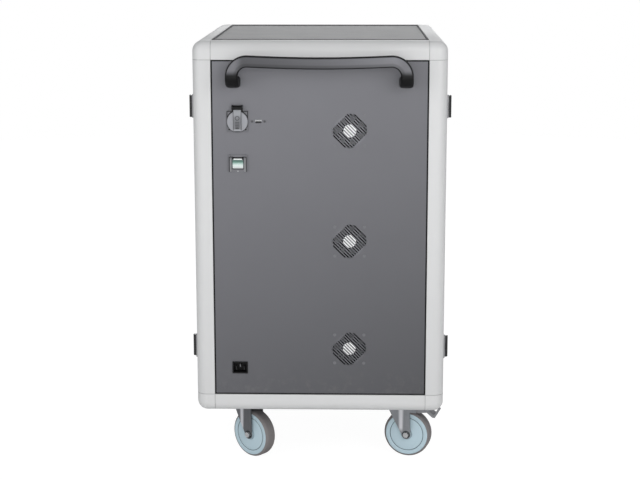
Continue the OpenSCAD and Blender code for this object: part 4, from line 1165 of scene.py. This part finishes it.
@dataclass
class Studio:
    """Camera of the photograph, pale floor and soft lights."""

    focal: float = 80.1794
    shift_y: float = -0.0625
    pitch: float = 0.1814666
    roll: float = 0.0008006
    yaw: float = -0.0229586
    place: Triple = (0.0780522, -3.6902257, 1.3115249)
    sensor: float = 36
    floor_r: float = 6000
    floor_top: float = -0.2
    floor_grey: float = 0.93
    floor_glow: float = 1.12
    glow_share: float = 0.85
    surround: float = 0.40
    surround_tone: RGB = (0.96, 0.98, 1.0)
    reach: float = 60
    lamps: tuple[Lamp, ...] = (
        Lamp("key", (2.1, -3.4, 2.3), (0, 0, 0.55), (2.4, 2.0), 56),
        Lamp("fill", (-2.8, -2.8, 1.5), (0, 0, 0.5), (2.2, 2.4), 36),
        Lamp("front", (0.2, -4.2, 1.0), (0, 0, 0.5), (3.0, 2.2), 44),
        Lamp("back", (0.4, 3.4, 2.0), (0, 0, 0.6), (2.6, 2.0), 30),
    )

    def camera(self) -> None:
        """Sets the camera: it looks along the yaw, tilted down by the pitch and rolled a little."""
        sy, cy = math.sin(self.yaw), math.cos(self.yaw)
        sp, cp = math.sin(self.pitch), math.cos(self.pitch)
        forward = Vector((sy * cp, cy * cp, -sp))
        flat_right, flat_up = Vector((cy, -sy, 0)), Vector((sy * sp, cy * sp, cp))
        right = flat_right * math.cos(self.roll) - flat_up * math.sin(self.roll)
        up = flat_right * math.sin(self.roll) + flat_up * math.cos(self.roll)
        data = bpy.data.cameras.new("camera")
        data.sensor_width, data.lens, data.shift_y = self.sensor, self.focal, self.shift_y
        data.clip_end = self.reach
        seen = bpy.data.objects.new("camera", data)
        turned = Matrix((right, up, -forward)).transposed().to_4x4()
        seen.matrix_world = Matrix.Translation(self.place) @ turned
        bpy.context.scene.collection.objects.link(seen)
        bpy.context.scene.camera = seen

    def floor(self) -> None:
        """A wide pale floor disc that shows white and keeps the cart's soft shadow."""
        r, top = self.floor_r, self.floor_top
        shell = lathe(np.array([[r, -20.0], [r, top], [1.0, top]]), 64)
        mesh = bpy.data.meshes.new("floor")
        faces = [face.tolist() for group in shell.faces for face in group]
        mesh.from_pydata((shell.points * MM).tolist(), [], faces)
        floor = bpy.data.objects.new("floor", mesh)
        bpy.context.scene.collection.objects.link(floor)
        tree = Tree("floor_white", Roughness=0.9, Specular_IOR_Level=0.1)
        grain = tree.noise(9, 3, 0.5)
        tree.feed(Base_Color=tree.shade((self.floor_grey,) * 3, 0.98 + grain * 0.04))
        glow = tree.add("ShaderNodeEmission", {}, {"Color": (1, 1, 1, 1), "Strength": self.floor_glow})
        path = tree.add("ShaderNodeLightPath", {}, {}, "Is Camera Ray")
        lit = Socket(tree, tree.shader.outputs[0])
        mix = tree.add("ShaderNodeMixShader", {}, {0: path * self.glow_share, 1: lit, 2: glow})
        tree.links.new(mix.out, tree.nodes["Material Output"].inputs["Surface"])
        mesh.materials.append(tree.material)

    def world(self) -> None:
        """An even pale surround that the camera sees as white."""
        world = bpy.data.worlds.new("surround")
        world.use_nodes = True
        bpy.context.scene.world = world
        nodes, links = world.node_tree.nodes, world.node_tree.links
        lit = nodes["Background"]
        lit.inputs["Color"].default_value = (*self.surround_tone, 1)
        lit.inputs["Strength"].default_value = self.surround
        seen = nodes.new("ShaderNodeBackground")
        seen.inputs["Color"].default_value = (1, 1, 1, 1)
        seen.inputs["Strength"].default_value = 1.0
        path, mix = nodes.new("ShaderNodeLightPath"), nodes.new("ShaderNodeMixShader")
        links.new(path.outputs["Is Camera Ray"], mix.inputs[0])
        links.new(lit.outputs[0], mix.inputs[1])
        links.new(seen.outputs[0], mix.inputs[2])
        links.new(mix.outputs[0], nodes["World Output"].inputs["Surface"])

    def build(self) -> None:
        """Sets up the whole studio at a plain level."""
        self.camera()
        self.floor()
        self.world()
        for lamp in self.lamps:
            lamp.build()
        bpy.context.scene.view_settings.view_transform = "Standard"
        log.info("studio ready")


@dataclass
class CartFrame:
    """The rounded profile frame: four posts, eight rails and eight corner castings."""

    half_w: float = 305
    half_l: float = 340
    low: float = 156
    high: float = 1073
    rail: float = 45
    radius: float = 25
    edge: float = 1.2
    seam: float = 1.1

    def bar(self, start: float, end: float) -> Shell:
        """One profile along z, its rounded outer edge at the origin and a fine seam at each end."""
        outline = rounded_outline(self.rail, self.rail, (self.radius, self.edge, self.edge, self.edge), 12)
        return slab(outline, start, end, self.seam, steps=2)

    def corners(self) -> list[tuple[int, int]]:
        """The signs of the four upright edges."""
        return [(sx, sy) for sx in (-1, 1) for sy in (-1, 1)]

    def at_edge(self, sx: int, sy: int, up: int, level: float) -> Placing:
        """A placing at one upright edge and level, with x and y inwards and z along up."""
        return axes((-sx, 0, 0), (0, -sy, 0), (0, 0, up), (sx * self.half_w, sy * self.half_l, level))

    def posts(self) -> Shell:
        """Four posts between the corner castings."""
        bar = self.bar(self.low + self.rail, self.high - self.rail)
        return join([bar.mapped(self.at_edge(sx, sy, 1, 0)) for sx, sy in self.corners()])

    def rails(self, across: bool) -> Shell:
        """The four rails across the ends, or the four along the sides.

        Args:
            across: The rails of the ends, else those of the sides.

        Returns:
            The four rails.
        """
        reach = (self.half_w if across else self.half_l) - self.rail
        bar = self.bar(-reach, reach)
        shells = []
        for side in (-1, 1):
            for up, level in ((1, self.low), (-1, self.high)):
                if across:
                    place = axes((0, -side, 0), (0, 0, up), (1, 0, 0), (0, side * self.half_l, level))
                else:
                    place = axes((-side, 0, 0), (0, 0, up), (0, 1, 0), (side * self.half_w, 0, level))
                shells.append(bar.mapped(place))
        return join(shells)

    def castings(self) -> Shell:
        """Eight corner castings with three rounded edges that meet in a ball corner.

        Returns:
            The eight castings.
        """
        cube = rounded_cube_corner(self.rail, self.radius)
        return join([cube.mapped(self.at_edge(sx, sy, up, level))
                     for sx, sy in self.corners() for up, level in ((1, self.low), (-1, self.high))])

    def build(self) -> None:
        """Makes the four groups of the frame."""
        for name, shell, node in (
            ("posts", self.posts(), "posts"), ("end_rails", self.rails(True), "end_rails"),
            ("side_rails", self.rails(False), "side_rails"), ("castings", self.castings(), "corner_blocks"),
        ):
            make_piece(f"frame_{name}", shell, Finishes.FRAME, "cabinet", [node])


@dataclass
class PushHandle:
    """The bowed push handle, moulded in one with its two feet."""

    foot_x: float = -206
    foot_y: float = -338.5
    foot_z: float = 976
    grip_y: float = -391
    grip_z: float = 1029
    bend: float = 36
    bow: float = 4.5
    foot: tuple[float, float] = (34, 28)
    leg: float = 30
    depth: float = 22
    grip: float = 28
    power: float = 4.5
    sides: int = 96

    def half(self, steps: int = 26, bar_steps: int = 40) -> tuple[Array, Array, Array]:
        """Half of the centre line with its section vectors, from a foot to the grip's middle.

        The leg is a quarter ellipse out of the panel, then a quarter circle into the grip, which
        drops by the bow times the sine of its share.

        Args:
            steps: Spans of each bend.
            bar_steps: Spans of half the grip.

        Returns:
            Centres, half widths and half depths.
        """
        s = np.arange(steps) / steps
        sin, cos = np.sin(s * np.pi / 2), np.cos(s * np.pi / 2)
        leg_z, front = self.grip_z - self.bend, self.depth / 2
        width = (self.foot[0] + (self.leg - self.foot[0]) * s) / 2
        deep = (self.foot[1] + (self.depth - self.foot[1]) * s) / 2
        out = (
            stacked(self.foot_x, self.foot_y + (self.grip_y - self.foot_y) * sin,
                    self.foot_z + (leg_z - self.foot_z) * (1 - cos)),
            stacked(width, 0, 0), stacked(0, sin * deep, cos * deep),
        )
        width = (self.leg + (self.grip - self.leg) * s) / 2
        bent = (
            stacked(self.foot_x + self.bend * (1 - cos), self.grip_y, leg_z + self.bend * sin),
            stacked(cos * width, 0, -sin * width), stacked(0 * s, front, 0),
        )
        u = np.arange(bar_steps + 1) / bar_steps
        bar = (
            stacked((self.foot_x + self.bend) * (1 - u), self.grip_y,
                    self.grip_z - self.bow * np.sin(u * np.pi / 2)),
            stacked(0 * u, 0, -self.grip / 2), stacked(0 * u, front, 0),
        )
        return tuple(np.concatenate(parts) for parts in zip(out, bent, bar))

    def build(self) -> None:
        """Mirrors the half line and sweeps the section along it."""
        centre, wide, deep = self.half()
        flip = np.array([-1.0, 1.0, 1.0])
        centre = np.concatenate([centre, centre[-2::-1] * flip])
        wide = np.concatenate([wide, wide[-2::-1] * flip])
        deep = np.concatenate([deep, deep[-2::-1]])
        shell = sweep(centre, wide, deep, self.power, self.sides)
        share = superellipse(self.sides, self.power)
        shares = {"bar_across": np.tile((share[:, 0] + 1) / 2, len(centre)),
                  "bar_front": np.tile((1 - share[:, 1]) / 2, len(centre))}
        make_piece("handle_bar", shell, Finishes.HANDLE, "cabinet", ["push_handle"],
                   60, shares)


@dataclass
class LiddedSocket:
    """The round lidded socket on its square plate."""

    x: float = -197
    z: float = 881
    face: float = 338.5
    plate_t: float = 2.5
    lid_r: float = 25
    lid_t: float = 3
    gap: float = 0.3
    band_w: float = 19.5
    band_t: float = 2.5
    axis_z: float = 34.3
    barrel: float = 5
    rim: float = 1.4
    dome: float = 0.9
    point: float = 0.4
    rib: tuple[float, float] = (11.5, 1.5)
    rib_z: tuple[float, ...] = (-1.5, -5.1, -8.7, -12.1)
    rib_foot: float = 0.3
    rib_rise: float = 0.55
    ring_r: tuple[float, float] = (3.4, 5.4)
    ring_z: float = 8.5
    ring_foot: float = 0.4
    ring_rise: float = 0.5

    def disc(self) -> Shell:
        """The lid's disc: a shallow dome whose rim turns down in a quarter round.

        Returns:
            The disc, its back face at level 0.
        """
        r, t, small = self.lid_r, self.lid_t, self.point
        s, turn = np.linspace(0, 1, 12), np.linspace(0, np.pi / 2, 6)
        dome = stacked((r - self.rim) * (1 - s), t - self.dome + self.dome * np.sin(s * np.pi / 2))
        edge = stacked(r - self.rim * (1 - np.cos(turn)), t - self.dome - self.rim * (1 - np.sin(turn)))
        return lathe(np.concatenate([
            [[small, 0.0], [r - small, 0.0], [r, small]], edge, dome[1:-1], [[small, t]],
        ]), 96)

    def band(self) -> Shell:
        """The raised band from the lid's foot to the barrel, with its ring and grip ribs.

        Returns:
            The band, in the disc's own frame.
        """
        top, low = self.lid_t + self.band_t, -self.lid_r + 3
        size = (self.band_w, self.axis_z - self.barrel - low)
        band = slab(rounded_outline(*size, (2, 2, 0.8, 0.8), 6) + [-self.band_w / 2, low], 0.5, top, 0.8)
        flat = rounded_outline(*self.rib, (0.6,) * 4, 4) - [self.rib[0] / 2, 0]
        ribs = [slab(flat + [0, z], top - self.rib_foot, top + self.rib_rise, 0.4) for z in self.rib_z]
        (inner, outer), foot, crest = self.ring_r, top - self.ring_foot, top + self.ring_rise
        corners = [[inner, foot], [inner, crest], [outer, crest], [outer, foot]]
        ring = lathe(softened(corners, 0.4, 3, True), 48, closed=True)
        return join([band, ring.mapped(lambda p: p + [0, self.ring_z, 0]), *ribs])

    def build(self) -> None:
        """Makes the lid's disc and its band, just over the plate."""
        lift = on_front(self.x, self.z, self.face + self.plate_t + self.gap)
        make_piece("socket_lid_disc", self.disc().mapped(lift), Finishes.LID, "lid",
                   ["socket_lid"])
        make_piece("socket_lid_band", self.band().mapped(lift), Finishes.LID_BAND, "lid")


@dataclass
class PowerSwitch:
    """The lit rocker with its shallow V across the face."""

    x: float = -197
    z: float = 780
    face: float = 338.5
    w: float = 26
    h: float = 26.4
    axis_d: float = 5
    tilt: float = 9
    rise: float = 2
    depth: float = 4
    taper: float = 2
    corner_r: float = 3
    rim: float = 0.8

    def rocker(self) -> Shell:
        """The rocker's side outline carried across its width, with rounded corners and rims.

        Returns:
            The rocker in its place.
        """
        mid, half, turn = self.axis_d + self.rise, self.h / 2, math.radians(self.tilt)
        edge, foot = mid + half * math.tan(turn), half - self.taper
        corners = [[-half, edge], [-foot, -self.depth], [foot, -self.depth], [half, edge], [0, mid]]
        outline = softened(corners, self.corner_r, 6, loop=True)
        shell = slab(outline, -self.w / 2, self.w / 2, self.rim)
        c, s = math.cos(turn), math.sin(turn)
        # outline x is the rocker's height, outline y is out of the panel, the slab's level is across
        place = axes((0, -s, c), (0, -c, -s), (1, 0, 0), (self.x, -self.face + self.axis_d, self.z))
        return shell.mapped(place)

    def build(self) -> None:
        """Makes the rocker."""
        make_piece("rocker_lens_body", self.rocker(), Finishes.LENS, "rocker",
                   ["switch_rocker"])


@dataclass
class Fan:
    """The motor disc in the middle of one fan."""

    name: str
    z: float
    x: float = FAN_X
    face: float = 337
    label_r: float = 15.6
    sunk: float = 0.6

    def build(self) -> None:
        """Makes the white disc on the motor's base, just behind the slots."""
        r = self.label_r
        profile = np.array([[0.4, -0.3], [r, -0.3], [r, 0.25], [r - 0.2, 0.35], [0.4, 0.35]])
        disc = lathe(profile, 64).mapped(on_front(self.x, self.z, self.face - self.sunk))
        make_piece(f"fan_label_{self.name}", disc, Finishes.LABEL, "cabinet")


@dataclass
class Caster:
    """One swivel caster: tyre and wheel centre, turned to its heading."""

    name: str
    side: int
    end: int
    heading: float
    rib: float = 0.008
    steel: RGB = tone(124, 125, 129)
    x: float = 195
    y: float = 200.5
    trail: float = 30
    wheel_r: float = 60
    width: float = 35
    rim_r: float = 54.5
    shoulder: float = 9
    groove_r: float = 43.1
    bore_r: float = 5.1
    boss_r: float = 13
    boss_rise: float = 3.6

    def place(self) -> Placing:
        """From the caster's own frame, with x ahead, to the cabinet's."""
        c, s = math.cos(math.radians(self.heading)), math.sin(math.radians(self.heading))
        return axes((c, s, 0), (-s, c, 0), (0, 0, 1), (self.side * self.x, self.end * self.y, 0))

    def axle(self) -> Placing:
        """From a turned form's frame, its axis along z, to the wheel's axle in the cabinet.

        Returns:
            The placing.
        """
        put = self.place()
        lay = axes((1, 0, 0), (0, 0, 1), (0, 1, 0), (self.trail, 0, self.wheel_r))
        return lambda points: put(lay(points))

    def tyre(self) -> Shell:
        """A loop: bore, flat tread and two shoulders that are quarter circles.

        Returns:
            The tyre, its axis along z.
        """
        r, flat = self.wheel_r, self.width / 2 - self.shoulder
        t = np.linspace(0, np.pi / 2, 12)
        upper = stacked(r - self.shoulder + self.shoulder * np.cos(t), flat + self.shoulder * np.sin(t))
        upper = upper[upper[:, 0] > self.rim_r]
        loop = np.concatenate([
            [[self.rim_r, -self.width / 2 + 0.6]], upper[::-1] * [1, -1], upper,
            [[self.rim_r, self.width / 2 - 0.6]],
        ])
        return lathe(loop, 128, closed=True)

    def wheel(self) -> Shell:
        """A loop: bore, boss, web with a ring groove on both faces and the rim's soft edge.

        Returns:
            The wheel centre, its axis along z.
        """
        b, g, r, f = self.boss_r, self.groove_r, self.rim_r, self.width / 2 - 1
        top = f + self.boss_rise
        half = np.array([
            [self.bore_r, top], [b - 0.8, top], [b, top - 0.6], [b + 0.4, f + 0.3], [b + 1.5, f - 0.2],
            [28, f - 0.4], [g - 1.2, f - 0.3], [g - 0.5, f - 0.6], [g - 0.35, f - 1.8],
            [g + 0.35, f - 1.8], [g + 0.5, f - 0.3], [g + 1.2, f],
            [r - 1.6, f + 0.2], [r - 0.4, f - 0.2], [r, f - 0.9],
        ])
        return lathe(np.concatenate([half, half[::-1] * [1, -1]]), 128, closed=True)

    def build(self) -> None:
        """Makes the caster's turned pieces and dresses its fork."""
        body = f"roller_{self.name}"
        centre = (self.side * self.x * MM, (self.end * self.y + MID_Y) * MM)
        axle = (self.trail * MM, self.wheel_r * MM)
        steel = PressedFork(f"fork_steel_{self.name}", self.steel, centre, self.heading, axle, self.rib)
        dress(f"fork_{self.name}", steel)
        make_piece(f"caster_tyre_{self.name}", self.tyre().mapped(self.axle()), Finishes.TYRE, body,
                   [f"tyre_{self.name}"])
        wheel = self.wheel()
        radius = np.hypot(wheel.points[:, 0], wheel.points[:, 1])
        make_piece(f"caster_wheel_{self.name}", wheel.mapped(self.axle()), Finishes.WHEEL, body,
                   [f"wheel_{self.name}"], shares={"radius": radius})


def dress(name: str, finish: Finish | Finishes) -> None:
    """Puts a finish into the material slot of a CAD node that stays as it is.

    Args:
        name: Name of the node.
        finish: Its new finish.
    """
    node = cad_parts[name]
    node.data.materials.clear()
    node.data.materials.append(finish.material())


class CarriedOver:
    """Finishes for the CAD nodes that stay as they are."""

    plan: dict[Finishes, tuple[str, ...]] = {
        Finishes.PANEL: ("base_panel", "end_panel_front", "end_panel_rear", "laptop_door", "charger_door"),
        Finishes.TOP: ("top_panel",),
        Finishes.SEAL: ("panel_seals", "door_stops"),
        Finishes.INNER: ("partition", "shelves", "bay_dividers", "charger_shelves", "control_box"),
        Finishes.BLACK: ("socket_lid_barrel", "mains_inlet", "power_strips"),
        Finishes.SOCKET: ("socket_housing",),
        Finishes.SWITCH: ("switch_shroud",),
        Finishes.PORT: ("data_port",),
        Finishes.SCREWS: ("panel_screws",),
        Finishes.PINS: ("inlet_pins",),
        Finishes.BRIGHT: ("hinge_pins", "axle_front_left", "axle_front_right",
                          "axle_rear_left", "axle_rear_right"),
        Finishes.FAN: ("fan_frames", "fan_rotor_bottom", "fan_rotor_middle", "fan_rotor_top"),
        Finishes.HINGE: ("frame_hinge_leaves", "laptop_door_leaves", "charger_door_leaves"),
        Finishes.HARDWARE: ("laptop_lock_plate", "charger_lock_plate", "laptop_lock_handle",
                            "charger_lock_handle"),
        Finishes.ZINC: ("caster_plates", "caster_bolts", "brake_pedal_front", "brake_pedal_rear"),
    }

    def build(self) -> None:
        """Puts each finish into the nodes' material slots."""
        for finish, names in self.plan.items():
            for name in names:
                dress(name, finish)
        log.info("carried-over nodes dressed")


def main() -> None:
    logging.basicConfig(level=logging.INFO, format="%(name)s: %(message)s")
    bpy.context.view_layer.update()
    Studio().build()
    CartFrame().build()
    PushHandle().build()
    LiddedSocket().build()
    PowerSwitch().build()
    for row, name in enumerate(("bottom", "middle", "top")):
        Fan(name, FAN_LOW + FAN_PITCH * row).build()
    for caster in (
        # painted light: the front left fork's steel is darker and the front right's lighter, as the lamps
        # fall on them, and each rib's painted highlight stands where the light catches it
        Caster("front_left", -1, -1, -39.0, 0.0080, tone(108, 109, 112)),
        Caster("front_right", 1, -1, -15.6, 0.0165, tone(140, 142, 146)),
        Caster("rear_left", -1, 1, -24.0), Caster("rear_right", 1, 1, -42.0),
    ):
        caster.build()
    CarriedOver().build()


if __name__ == "__main__":
    main()
